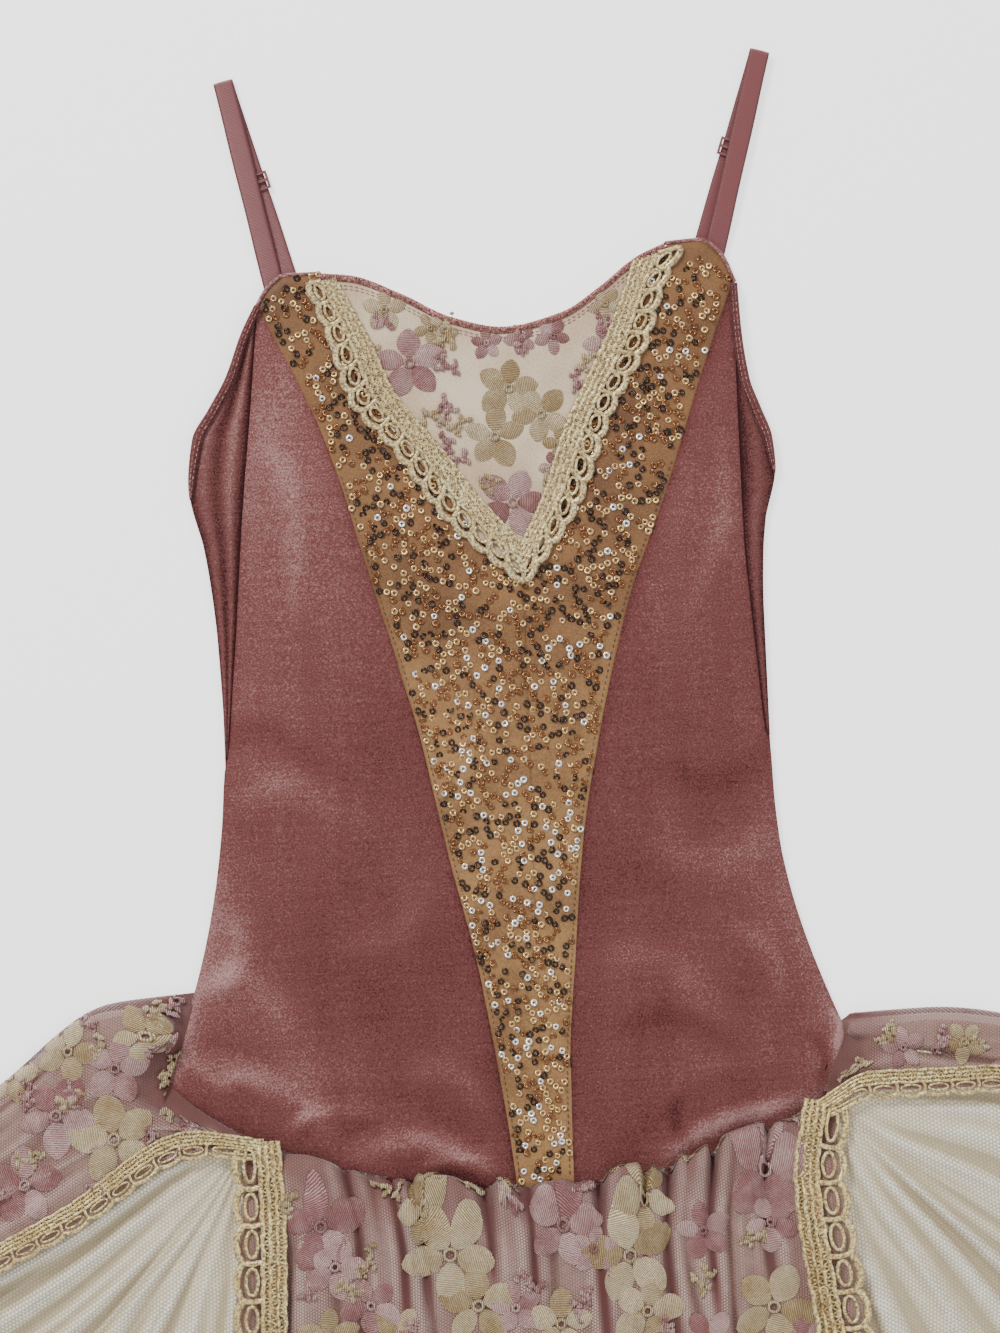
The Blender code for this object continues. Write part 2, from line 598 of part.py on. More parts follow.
def skirt_galloon(name, edge, start, way, panel_way, width):
    """Galloon down a panel's edge: its straight side on the panel, its scallops past the edge."""
    stations = np.linspace(start, OVERSKIRT_REACH - 0.005, 40)
    ray = fan(np.full((40, 1), edge), stations)[:, 0]
    along = lengths(ray)
    cells = int(round(along[-1] / SKIRT_EYELET_PITCH))
    step = 0.004

    def place(u, v):
        reach = np.interp(u / cells, along / along[-1], stations)
        column = np.full((len(u), 1), edge)
        middle = fan(column, reach)[:, 0]
        ahead = fan(column, np.minimum(reach + 0.01, 1.0))[:, 0] - fan(column, reach - 0.01)[:, 0]
        ahead /= np.linalg.norm(ahead, axis=1, keepdims=True)
        normal = np.column_stack([-ahead[:, 1], ahead[:, 0]])
        scale = np.linalg.norm(fan(column + panel_way * step, reach)[:, 0] - middle, axis=1) / step
        out = (v - 0.5) * width
        on_panel = edge + panel_way * np.maximum(-out, 0) / scale
        flat = middle + way * normal * out[:, None]
        height = over_height(on_panel[:, None], reach)[:, 0]
        crest = np.maximum(height, over_height(column, reach)[:, 0])
        return np.column_stack([flat, crest + NET + 2 * LAID_GAP])

    points, faces = lace(place, cells)
    cloth(name, points, faces, gold, LACE)


def centre_on_floor():
    """Moves the dress so that its box stands on z = 0, centred on the origin."""
    bpy.context.view_layer.update()
    graph = bpy.context.evaluated_depsgraph_get()
    corners = []
    for piece in pieces.objects:
        mesh = piece.evaluated_get(graph).to_mesh()
        spots = np.empty(3 * len(mesh.vertices))
        mesh.vertices.foreach_get("co", spots)
        turned = np.array(piece.matrix_world)
        world = spots.reshape(-1, 3) @ turned[:3, :3].T + turned[:3, 3]
        corners += [world.min(axis=0), world.max(axis=0)]
    low, high = np.min(corners, axis=0), np.max(corners, axis=0)
    root.location = (-(low[0] + high[0]) / 2, -(low[1] + high[1]) / 2, -low[2])


for thing in list(bpy.data.objects):
    bpy.data.objects.remove(thing)
pieces = bpy.data.collections.new("ballet_dress")
cutters = bpy.data.collections.new("cutters")
for group in (pieces, cutters):
    bpy.context.scene.collection.children.link(group)
root = bpy.data.objects.new("dress_origin", None)
bpy.context.scene.collection.objects.link(root)

velvet = material("dusty rose velvet", (0.30, 0.11, 0.11), 0.75)
velvet_shade = material("dusty rose velvet in the folds", (0.22, 0.07, 0.07), 0.8)
sequin_mesh = material("tan sequinned mesh", (0.48, 0.28, 0.12), 0.45, 0.4)
nude_mesh = material("nude embroidered mesh", (0.75, 0.60, 0.47), 0.7)
piping = material("rose metallic piping", (0.50, 0.25, 0.22), 0.4, 0.3)
gold = material("champagne gold galloon", (0.62, 0.52, 0.30), 0.45, 0.4)
elastic = material("dusty rose elastic", (0.26, 0.09, 0.09), 0.5)
slider_finish = material("dusty rose lacquer", (0.25, 0.08, 0.07), 0.3)
mauve_net = material("mauve embroidered net", (0.38, 0.23, 0.20), 0.8)
cream_net = material("cream net", (0.68, 0.60, 0.48), 0.9)

RAY_KNOTS = np.array([ray[0] for ray in RAYS.values()])
HEMS = np.array([ray[-1] for ray in RAYS.values()], float)
HEM_LENGTH = lengths(HEMS)[-1]
RAY_PLACES = lengths(HEMS) / HEM_LENGTH
FINE_PLACES = np.linspace(0, 1, 200)
SEAM_LENGTHS = lengths(between(np.arange(len(SKIRT_LINE)), SKIRT_LINE,
                               between(RAY_PLACES, RAY_KNOTS[:, None], FINE_PLACES)[:, 0]))
COLUMN_SHARE = (FINE_PLACES + 1.5 * SEAM_LENGTHS / SEAM_LENGTHS[-1]) / 2.5
FIRM_EDGES = [RAY_PLACES[list(RAYS).index(name)]
              for name in ("left opening", "left front", "right front", "right opening")]

bodice_back()
velvet_front("left", OUTLINE_LEFT, CREASE_LEFT, SEQUIN_LEFT)
velvet_front("right", OUTLINE_RIGHT, CREASE_RIGHT, SEQUIN_RIGHT)
side_panel("left", OUTLINE_LEFT, CREASE_LEFT, -1, 2, 9)
side_panel("right", OUTLINE_RIGHT, CREASE_RIGHT, 1, 1, 5)
armhole_binding("left", OUTLINE_LEFT, 1, 1.0)
armhole_binding("right", OUTLINE_RIGHT, -1, 0.3)
sequin_panel()
neck_insert()
neckline_binding()
neck_galloon()
for side in STRAPS:
    strap(side)
    slider(side)
skirt()
centre_on_floor()
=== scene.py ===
# %% [markdown]
# Ballet dress, laid flat with its front up
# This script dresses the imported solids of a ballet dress: a velvet bodice with a sequinned wedge,
# a lace-edged mesh insert, elastic straps and a split embroidered overskirt over cream net.
# Every surface is computed from two parameters on a grid, because cloth that is cut, gathered and
# laid on a table is a smooth sheet over its pattern, with creases that can be placed by hand.

import math

import bpy
import numpy as np
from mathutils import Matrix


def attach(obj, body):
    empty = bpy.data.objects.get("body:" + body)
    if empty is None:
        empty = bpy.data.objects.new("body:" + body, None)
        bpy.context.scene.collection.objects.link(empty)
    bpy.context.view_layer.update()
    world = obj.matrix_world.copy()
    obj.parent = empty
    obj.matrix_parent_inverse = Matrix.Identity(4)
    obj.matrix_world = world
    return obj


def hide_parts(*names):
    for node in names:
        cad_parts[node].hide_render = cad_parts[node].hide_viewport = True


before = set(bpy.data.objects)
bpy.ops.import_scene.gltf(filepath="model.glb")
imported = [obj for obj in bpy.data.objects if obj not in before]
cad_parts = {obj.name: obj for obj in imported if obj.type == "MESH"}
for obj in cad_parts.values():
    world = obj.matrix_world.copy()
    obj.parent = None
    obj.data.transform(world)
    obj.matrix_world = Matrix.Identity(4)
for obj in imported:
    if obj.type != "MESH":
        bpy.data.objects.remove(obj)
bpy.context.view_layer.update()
print("nodes of the frame:", len(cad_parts))

# %% [markdown]
# Sizes
# The tables are the pattern of the dress in millimetres, from the middle of the front hip seam,
# as in the part's source: +X is the viewer's right and +Y runs to the straps. The origin moves by
# OFFSET to the centre of the laid dress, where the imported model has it.

# %% Sizes
MM = 0.001
PHOTO_HEIGHT, MM_PER_PIXEL = 1333, 0.5
TURN = math.radians(2.7)
CENTRE = np.array([-10.0, 262.0, 0.0])
OFFSET = np.array([0.312, -136.966, 0.0])
VELVET, NET, LACE, ELASTIC = 1.5, 1.2, 1.2, 1.0
LAID_GAP = 0.5
SIDE_HEIGHT, TOP_HEIGHT, CROWN = 1.9, 2.8, 3.4
LAYER_STEP = NET + LAID_GAP
BACK_WAVES, BACK_WAVE = 9, 3.0
UNDER_WAVES, UNDER_WAVE = 17, 6.0
TOP_WAVES, TOP_WAVE = 28, 6.0
OVER_WAVES, OVER_WAVE, OVER_PHASE = 19, 12.0, 0.35
OPENING_WIDTH, OVERSKIRT_REACH = 70.0, 0.94
FOLD_ROUNDING, LAYER_INSET, STEEPEST_WAVE = 13.0, 7.5, 0.28
STRAP_WIDTH, STRAP_TOP_HEIGHT, STRAP_TUCK_HEIGHT = 10.0, 3.4, 1.95
BINDING_WIDTH, PIPING_WIDTH = 6.0, 3.2
GALLOON_WIDTH, SIDE_GALLOON_WIDTH = 27.0, 15.0

OUTLINE_LEFT = [(-123, 449), (-131, 434), (-140, 412), (-149, 397), (-158, 382), (-161, 358),
                (-154, 323), (-150, 277), (-149, 232), (-151, 202), (-157, 158), (-168, 113),
                (-178, 85), (-187, 62)]
OUTLINE_RIGHT = [(117, 449), (118, 425), (121, 400), (126, 385), (131, 370), (132, 356),
                 (125, 324), (123, 285), (123, 214), (125, 174), (130, 144), (139, 112),
                 (149, 85), (154.5, 71)]
CREASE_LEFT = [(-122.5, 447.5), (-129, 391), (-135, 342), (-141, 282), (-147.6, 224)]
CREASE_RIGHT = [(115.8, 447.5), (114.5, 385), (114.5, 330), (117, 279), (121, 224)]
SEQUIN_LEFT = [(-123, 447), (-118, 436), (-103, 405), (-90, 370), (-72, 305), (-53, 234),
               (-41, 172), (-27, 106), (-15.5, 21), (-14, 1)]
SEQUIN_RIGHT = [(116, 448), (110, 435), (95, 396), (77, 345), (56, 292), (38, 226), (27, 169),
                (20, 104), (16, 54), (15, 1)]
NOTCH_LEFT = [(-91, 461), (-77, 421), (-64, 392), (-47, 368), (-30, 346), (-15, 322), (4, 308)]
NOTCH_RIGHT = [(82, 467), (70, 440), (59, 415), (43, 388), (32, 362), (22, 335), (4, 308)]
NECKLINE = [(-91, 462), (-75, 460), (-51, 450), (-26, 437), (0, 431), (29, 437), (49, 449),
            (68, 463), (82, 469)]
CORNER_LEFT = [(-123, 447), (-117, 456), (-108, 462), (-91, 462)]
CORNER_RIGHT = [(82, 469), (99, 470), (110, 462), (116, 448)]
GALLOON_OUTER_LEFT = [(-99, 457), (-89, 430), (-80, 397), (-60, 373), (-35, 336), (4, 300)]
GALLOON_INNER_LEFT = [(-83, 459), (-67, 427), (-56, 401), (-34, 372), (-15, 345), (4, 323)]
GALLOON_OUTER_RIGHT = [(94, 468), (83, 451), (72, 419), (54, 388), (34, 340), (4, 300)]
GALLOON_INNER_RIGHT = [(66, 461), (58, 440), (42, 407), (28, 380), (15, 345), (4, 323)]
HIP_SEAM = [(-187, 62), (-170, 46), (-144, 30), (-100, 13), (-50, 3.5), (0, 0), (50, 4), (100, 17),
            (140, 38), (154.5, 71)]
BACK_SCOOP = [(-98, 404.5), (-84, 403), (-60, 376), (-10, 358), (45, 374), (73, 404), (88, 406)]
STRAPS = {
    "left": {"tuck": (-113, 452), "fold": (-134.5, 560), "guide": (-108, 465),
             "back": (-91.5, 405.5), "slider": 509.0},
    "right": {"tuck": (105, 457), "fold": (134, 563), "guide": (103, 472), "back": (80.5, 407),
              "slider": 515.0},
}
SKIRT_LINE = [(-178.5, 106), (-188, 82), (-196, 57), (-169, 40), (-144, 28.6), (-100, 12.7),
              (-50, 3.2), (0, -0.2), (50, 3.7), (100, 16.6), (143, 36), (159, 61), (158, 81)]
STATIONS = (0.12, 0.35, 0.65, 1.0)
RAYS = {
    "left fold": (0.0, (-212, 103), (-268, 66), (-345, 8), (-420, -45)),
    "left side": (2.0, (-222, 64), (-270, 32), (-340, -18), (-412, -72)),
    "left opening": (3.7, (-176, 32), (-232, 1), (-310, -38), (-394, -98)),
    "left fan": (3.9, (-166, 2), (-207, -52), (-262, -128), (-302, -212)),
    "left front": (4.05, (-142, -5), (-144, -72), (-149, -160), (-158, -262)),
    "middle left": (5.4, (-76, -28), (-78, -98), (-80, -186), (-82, -285)),
    "middle": (7.0, (0, -34), (0, -101), (1, -190), (2, -291)),
    "middle right": (8.6, (77, -24), (80, -93), (84, -181), (90, -280)),
    "right front": (9.95, (137, 3), (144, -64), (157, -150), (172, -248)),
    "right fan": (10.1, (166, 14), (216, -34), (278, -100), (330, -172)),
    "right opening": (10.3, (166, 46), (223, 47), (302, 7), (386, -66)),
    "right fold": (12.0, (196, 82), (257, 71), (336, 34), (420, -26)),
}
print("pattern lines:", 19, "and skirt rays:", len(RAYS))

# %% [markdown]
# Lines and patches
# A pattern line is a smooth curve through a few measured points. A panel is the patch between four
# such lines, so its grid follows the cut of the cloth, and its creases run with the cloth too.

# %% Lines and patches
def slopes(knots, values):
    """Harmonic mean of the two secants at a knot, or nothing where they differ in sign."""
    secants = np.diff(values, axis=0) / np.diff(knots)[:, None]
    products = secants[:-1] * secants[1:]
    sums = np.where(products > 0, secants[:-1] + secants[1:], 1.0)
    inner = np.where(products > 0, 2 * products / sums, 0.0)
    return np.concatenate([secants[:1], inner, secants[-1:]])


def between(knots, values, places):
    """Cubic through the knots with those slopes, at the given places."""
    knots = np.asarray(knots, float)
    values = np.asarray(values, float)
    flat = values.reshape(len(knots), -1)
    steep = slopes(knots, flat)
    places = np.clip(places, knots[0], knots[-1])
    left = np.clip(np.searchsorted(knots, places, side="right") - 1, 0, len(knots) - 2)
    span = (knots[left + 1] - knots[left])[:, None]
    t = (places - knots[left])[:, None] / span
    near = (1 + 2 * t) * (1 - t) ** 2 * flat[left] + t * (1 - t) ** 2 * span * steep[left]
    far = t**2 * (3 - 2 * t) * flat[left + 1] - t**2 * (1 - t) * span * steep[left + 1]
    return (near + far).reshape((len(places),) + values.shape[1:])


def lengths(points):
    """Distance along a line at each of its points."""
    steps = np.linalg.norm(np.diff(np.asarray(points, float), axis=0), axis=1)
    return np.concatenate([[0.0], np.cumsum(steps)])


def at(table, fractions):
    """Points of the smooth line through a table, at fractions of its length."""
    along = lengths(table)
    return between(along / along[-1], table, fractions)


def line(table, count, start=0.0, stop=1.0):
    """Evenly spaced places on a table's curve between two fractions of it."""
    return at(table, np.linspace(start, stop, count))


def fraction_at(table, y):
    """Fraction of a falling line's length at a height."""
    fine = line(table, 400)
    return float(np.interp(-y, -fine[:, 1], np.linspace(0, 1, 400)))


def smoothstep(value, low, high):
    """0 below low, 1 above high, and 3 t squared less 2 t cubed between."""
    t = np.clip((value - low) / (high - low), 0, 1)
    return t * t * (3 - 2 * t)


def patch(bottom, top, left, right):
    """Blend of the bottom and top edges plus that of the sides, less that of the corners."""
    u = np.linspace(0, 1, len(bottom))[None, :, None]
    v = np.linspace(0, 1, len(left))[:, None, None]
    sides = left[:, None] * (1 - u) + right[:, None] * u
    ends = bottom[None] * (1 - v) + top[None] * v
    low = (1 - u) * bottom[0] + u * bottom[-1]
    high = (1 - u) * top[0] + u * top[-1]
    return sides + ends - (1 - v) * low - v * high


EDGE_LEFT = line(OUTLINE_LEFT, 60)[::-1]
EDGE_RIGHT = line(OUTLINE_RIGHT, 60)[::-1]


def front_height(x, y):
    """Underside of the bodice's front: a low crown between its outlines that flattens at the neck."""
    x_left = np.interp(y, EDGE_LEFT[:, 1], EDGE_LEFT[:, 0])
    x_right = np.interp(y, EDGE_RIGHT[:, 1], EDGE_RIGHT[:, 0])
    across = np.clip((2 * x - x_left - x_right) / (x_right - x_left), -1, 1)
    edge = SIDE_HEIGHT + (TOP_HEIGHT - SIDE_HEIGHT) * smoothstep(y, 375, 435)
    crown = CROWN * (1 - 0.85 * smoothstep(y, 330, 445))
    return edge + crown * (1 - across**4)


def seam_between(start_x, stop_x, count):
    """Points of the hip seam from one x to another."""
    fine = line(HIP_SEAM, 400)
    along = np.interp([start_x, stop_x], fine[:, 0], np.linspace(0, 1, 400))
    return line(HIP_SEAM, count, *along)


def quads(rows, columns):
    """Faces of a grid: each joins two neighbours in a row to the two in the next row."""
    corner = np.arange((rows - 1) * columns).reshape(rows - 1, columns)[:, :-1].ravel()
    return np.column_stack([corner, corner + 1, corner + columns + 1, corner + columns])


print("bodice crown in the middle, mm:", round(float(front_height(0.0, 200.0)), 2))

# %% [markdown]
# Materials
# Cloth needs procedural finishes, which are graphs of nodes. Look builds one, and Value lets the
# arithmetic in it be written as arithmetic, so a finish reads as a formula.

# %% Materials by formula
class Value:
    """A number that a node gives; arithmetic on it, from either side, adds Math nodes."""

    def __init__(self, look, socket):
        self.look, self.socket = look, socket

    def __add__(self, other):
        return self.look.math("ADD", self, other)

    def __sub__(self, other):
        return self.look.math("SUBTRACT", self, other)

    def __rsub__(self, other):
        return self.look.math("SUBTRACT", other, self)

    def __mul__(self, other):
        return self.look.math("MULTIPLY", self, other)

    def __truediv__(self, other):
        return self.look.math("DIVIDE", self, other)

    def __rtruediv__(self, other):
        return self.look.math("DIVIDE", other, self)

    def __gt__(self, other):
        return self.look.math("GREATER_THAN", self, other)

    __radd__ = __add__
    __rmul__ = __mul__


class Look:
    """A material with one Principled shader, whose inputs are set by name."""

    def __init__(self, name, **constants):
        self.material = bpy.data.materials.new(name)
        self.material.use_nodes = True
        self.tree = self.material.node_tree
        self.shader = self.tree.nodes["Principled BSDF"]
        for socket, value in constants.items():
            label = socket.replace("_", " ").title().replace("Ior", "IOR")
            self.shader.inputs[label].default_value = value

    def node(self, kind, settings=None, inputs=None, output=0):
        """Adds a node, sets or links its inputs and gives one of its outputs."""
        made = self.tree.nodes.new("ShaderNode" + kind)
        for name, value in (settings or {}).items():
            setattr(made, name, value)
        for place, value in (inputs or {}).items():
            if isinstance(value, Value):
                self.tree.links.new(value.socket, made.inputs[place])
            else:
                made.inputs[place].default_value = value
        return Value(self, made.outputs[output])

    def math(self, operation, *values):
        """A Math node on the values."""
        return self.node("Math", {"operation": operation}, dict(enumerate(values)))

    def mix(self, share, first, second):
        """Colour between two others."""
        return self.node("Mix", {"data_type": "RGBA"}, {0: share, 6: first, 7: second}, 2)

    def ramp(self, value, low, high):
        """0 below low, 1 above high and smooth between."""
        return self.node("MapRange", {"interpolation_type": "SMOOTHSTEP"}, {0: value, 1: low, 2: high})

    def place(self, source="Object", scale=(1, 1, 1)):
        """Coordinates of one kind, multiplied by a scale on each axis."""
        spot = self.node("TexCoord", output=source)
        return self.node("VectorMath", {"operation": "MULTIPLY"}, {0: spot, 1: scale})

    def noise(self, spot, scale, detail=2.0, roughness=0.5):
        """Smooth noise at a place, about 0.5."""
        return self.node("TexNoise", inputs={"Vector": spot, "Scale": scale, "Detail": detail,
                                             "Roughness": roughness})

    def attribute(self, name):
        """A number that the mesh carries."""
        return self.node("Attribute", {"attribute_name": name}, output="Fac")

    def tint(self, name):
        """A colour that the mesh carries."""
        return self.node("Attribute", {"attribute_name": name}, output="Color")

    def set(self, socket, value):
        """Links a value to an input of the shader."""
        self.tree.links.new(value.socket, self.shader.inputs[socket])

    def bump(self, height, strength=0.5, distance=0.0005):
        """Tilts the shader's normal by a height."""
        self.set("Normal", self.node("Bump", inputs={"Strength": strength, "Distance": distance,
                                                     "Height": height}))


def srgb(red, green, blue):
    """Linear colour of an sRGB one given from 0 to 255."""
    linear = [((c / 255 + 0.055) / 1.055) ** 2.4 if c > 10 else c / 3295 for c in (red, green, blue)]
    return (*linear, 1.0)


print("colour of mid velvet:", [round(c, 3) for c in srgb(150, 95, 95)[:3]])

# %% [markdown]
# Meshes
# Three makers cover the dress: a shell is a grid with a wall under it and a rim round it, a sheet
# is a bare grid for net, and a tube is a round profile swept along a path, for cords and threads.

# %% Meshes from arrays
def mesh_object(name, points, faces, finish, smooth=True, uv=None, values=None, colours=None):
    """Object from arrays in pattern millimetres; uv, values and colours have a row for each point."""
    label = name + "_cloth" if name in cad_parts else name
    mesh = bpy.data.meshes.new(label)
    points = (np.asarray(points, float) + OFFSET) * MM
    faces = np.asarray(faces)
    sides = faces.shape[1]
    mesh.vertices.add(len(points))
    mesh.vertices.foreach_set("co", points.ravel())
    mesh.loops.add(faces.size)
    mesh.loops.foreach_set("vertex_index", faces.ravel())
    mesh.polygons.add(len(faces))
    mesh.polygons.foreach_set("loop_start", np.arange(0, faces.size, sides))
    mesh.update(calc_edges=True)
    if smooth:
        mesh.shade_smooth()
    if uv is not None:
        layer = mesh.uv_layers.new(name="UVMap")
        layer.data.foreach_set("uv", (np.asarray(uv, float) * MM)[faces.ravel()].ravel())
    for key, rows in (values or {}).items():
        mesh.attributes.new(key, "FLOAT", "POINT").data.foreach_set("value", np.asarray(rows, float).ravel())
    for key, rows in (colours or {}).items():
        flat = np.column_stack([rows, np.ones(len(rows))])
        mesh.attributes.new(key, "FLOAT_COLOR", "POINT").data.foreach_set("color", flat.ravel())
    mesh.materials.append(finish)
    made = bpy.data.objects.new(label, mesh)
    bpy.context.scene.collection.objects.link(made)
    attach(made, "root")
    pieces[name] = made
    triangles = len(faces) * (sides - 2)
    made_triangles.append(triangles)
    print(name, triangles, "triangles,", round(surface_area(points, faces), 4), "square metres")
    return made


def stands_for(node):
    """The piece takes the place of its solid, which is hidden."""
    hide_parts(node)


made_triangles, pieces = [], {}


def surface_area(points, faces):
    """Half the length of the cross product of each face's diagonals, added up."""
    if faces.shape[1] == 3:
        first, second = points[faces[:, 1]] - points[faces[:, 0]], points[faces[:, 2]] - points[faces[:, 0]]
    else:
        first, second = points[faces[:, 2]] - points[faces[:, 0]], points[faces[:, 3]] - points[faces[:, 1]]
    return float(np.linalg.norm(np.cross(first, second), axis=1).sum() / 2)


def grid_normals(grid):
    """Unit cross product of the grid's two directions, pointing up where the cloth faces up."""
    normal = np.cross(np.gradient(grid, axis=1), np.gradient(grid, axis=0))
    return normal / np.maximum(np.linalg.norm(normal, axis=2, keepdims=True), 1e-9)


def shell_arrays(top, wall):
    """Closed cloth: the grid, its copy a wall lower and a strip of quads round the rim."""
    rows, columns = top.shape[:2]
    count = rows * columns
    low = top - np.array([0, 0, wall])
    low[..., 2] = np.maximum(low[..., 2], 0)
    faces = quads(rows, columns)
    index = np.arange(count).reshape(rows, columns)
    rim = np.concatenate([index[0], index[1:, -1], index[-1, -2::-1], index[-2:0:-1, 0]])
    after = np.roll(rim, -1)
    strip = np.column_stack([rim, rim + count, after + count, after])
    across, along = top[0, 1, :2] - top[0, 0, :2], top[1, 0, :2] - top[0, 0, :2]
    every = np.concatenate([faces, faces[:, ::-1] + count, strip])
    every = every if across[0] * along[1] > across[1] * along[0] else every[:, ::-1]
    return np.concatenate([top.reshape(-1, 3), low.reshape(-1, 3)]), every


def shells(name, tops, wall, finish, values=None):
    """One object from one or more such shells, with one value for each grid point."""
    points, faces, part = joined([shell_arrays(top, wall) for top in tops])
    twice = {key: np.concatenate([np.tile(np.ravel(rows), 2) for rows in grids])
             for key, grids in (values or {}).items()}
    return mesh_object(name, points, faces, finish, uv=points[:, :2], values=twice)


def open_sheet(name, grid, finish, uv, values=None):
    """A bare sheet: the grid's points and faces, with no wall."""
    rows, columns = grid.shape[:2]
    return mesh_object(name, grid.reshape(-1, 3), quads(rows, columns), finish, uv=uv.reshape(-1, 2),
                       values=values)


def tube_arrays(path, radius, sides=6, flat=1.0):
    """Points and quads of a tube: at each point of the path, a ring across its direction."""
    path = np.asarray(path, float)
    ahead = np.gradient(path, axis=0)
    ahead /= np.maximum(np.linalg.norm(ahead, axis=1, keepdims=True), 1e-9)
    aside = np.cross(ahead, (0, 0, 1.0))
    aside /= np.maximum(np.linalg.norm(aside, axis=1, keepdims=True), 1e-9)
    above = np.cross(aside, ahead)
    turn = np.arange(sides) * 2 * np.pi / sides
    radius = np.broadcast_to(radius, len(path))[:, None, None]
    ring = np.cos(turn)[None, :, None] * aside[:, None] + flat * np.sin(turn)[None, :, None] * above[:, None]
    points = path[:, None] + ring * radius
    start = np.arange(len(path) - 1)[:, None] * sides
    side = np.arange(sides)[None, :]
    after = (side + 1) % sides
    faces = np.stack([start + side, start + after, start + sides + after, start + sides + side], axis=2)
    return points.reshape(-1, 3), faces.reshape(-1, 4)


def joined(parts):
    """One pair of arrays from many of points and faces."""
    sizes = [len(points) for points, faces in parts]
    starts = np.cumsum([0] + sizes[:-1])
    points = np.concatenate([points for points, faces in parts])
    faces = np.concatenate([faces + start for (points_of, faces), start in zip(parts, starts)])
    return points, faces, np.repeat(np.arange(len(parts)), sizes)


print("makers are ready")

# %% [markdown]
# Velvet
# Stretch velvet has a short pile. The finish mixes a deep, a mid and a silvery rose by a value that each
# panel's grid carries, which is painted light and shade: paler towards the top, at the rims, on crests
# and on slopes that face the light, darker in troughs, at the seams and in a painted shadow at the lower
# left. It adds clouds, streaks and the speckle of the pile; the shader's sheen brightens it towards its
# edges.

# %% Velvet finish
def velvet_look(name, deep_shade, mid, pale):
    """Colour by the painted light and shade value plus clouds, streaks, speckle and ribs of noise: deep, mid,
    then pale.
    """
    look = Look(name, roughness=0.85, sheen_weight=0.3, sheen_roughness=0.3,
                sheen_tint=(0.92, 0.70, 0.72, 1), specular_ior_level=0.2)
    spot = look.place()
    cloud = look.noise(spot, 16.0, 3.0)
    streak = look.noise(look.place("Object", (75.0, 9.0, 20.0)), 1.0, 3.0)
    speckle = look.noise(spot, 1150.0, 2.0, 0.8)
    ribs = look.noise(look.place("Object", (30.0, 700.0, 30.0)), 1.0, 2.0)
    nap_and_shading = look.attribute("nap_and_shading") + (cloud - 0.5) * 0.34 + (streak - 0.5) * 0.16
    nap_and_shading = nap_and_shading + (speckle - 0.5) * 1.5 + (ribs - 0.5) * 0.2
    lower = look.mix(look.ramp(nap_and_shading, -0.1, 0.5), deep_shade, mid)
    look.set("Base Color", look.mix(look.ramp(nap_and_shading, 0.45, 1.15), lower, pale))
    look.bump(speckle + ribs * 0.3, 0.4, 0.0004)
    return look.material


velvet = velvet_look("velvet", srgb(58, 20, 21), srgb(113, 63, 61), srgb(182, 142, 138))
# a darker copy of the velvet: painted shade for the side panels under the arms and the armhole bindings
shaded_velvet = velvet_look("shaded_velvet", srgb(46, 14, 16), srgb(108, 62, 60), srgb(166, 126, 122))
print("velvet finishes:", velvet.name, shaded_velvet.name)

# %% [markdown]
# Creases
# Each crease is a line with its own height, width and fade, placed where the photograph
# shows one: pulls from the hip seam, ridges by the side and the slack across the waist. Troughs
# have a negative height. The back has similar ones, lower, because it lies flat.

# %% Creases
CREASES = [
    # from x, y to x, y, height, half width
    ((60, 17), (132, 45), 1.3, 4.5),
    ((66, 12), (130, 36), -0.7, 2.5),
    ((50, 30), (118, 60), -0.45, 6.0),
    ((-124, 36), (-102, 45), 0.9, 3.5),
    ((-62, 12), (-28, 17), 1.0, 3.5),
    ((-100, 30), (-60, 36), -0.5, 5.0),
    ((74, 21), (64, 44), -0.8, 3.5),
    ((147, 86), (151, 66), 1.2, 3.5),
    ((137, 74), (143, 48), -0.9, 3.6),
    ((-176, 80), (-112, 52), -0.55, 9.0),
    ((-156, 64), (-100, 36), 0.7, 8.0),
    ((-84, 25), (-20, 12), 0.9, 6.0),
    ((-112, 50), (-30, 32), -0.45, 8.0),
    ((-165, 112), (-120, 92), 0.6, 9.0),
    ((-60, 62), (-24, 44), 0.6, 7.0),
    ((-150, 232), (-96, 216), -0.5, 9.0),
    ((-146, 200), (-84, 194), 0.5, 10.0),
    ((120, 214), (66, 202), -0.5, 8.0),
    ((122, 180), (60, 164), 0.5, 11.0),
    ((-121, 380), (-104, 300), 0.5, 7.0),
    ((104, 372), (92, 290), 0.45, 6.0),
    ((34, 118), (92, 98), 0.5, 9.0),
    ((44, 84), (100, 74), -0.5, 7.0),
    ((-52, 150), (-92, 116), 0.4, 9.0),
    ((104, 128), (126, 96), 0.6, 6.0),
    ((-146, 140), (-158, 100), 0.7, 7.0),
]
SHADOW_LINE = [
    # x and y: edge of a painted shadow at the lower left, darker below it, with a painted glow above it
    (-190, 80), (-180, 74), (-160, 57), (-148, 60.5), (-134, 53), (-120, 49), (-95, 43), (-71, 32),
    (-40, 18), (0, 6),
]
BACK_CREASES = [
    ((-120, 60), (-40, 30), 0.5, 8.0),
    ((40, 40), (120, 70), 0.5, 8.0),
    ((-90, 300), (60, 316), 0.4, 14.0),
    ((-130, 190), (-60, 176), 0.4, 10.0),
    ((60, 180), (118, 190), 0.4, 10.0),
    ((-150, 90), (-100, 84), 0.4, 7.0),
]


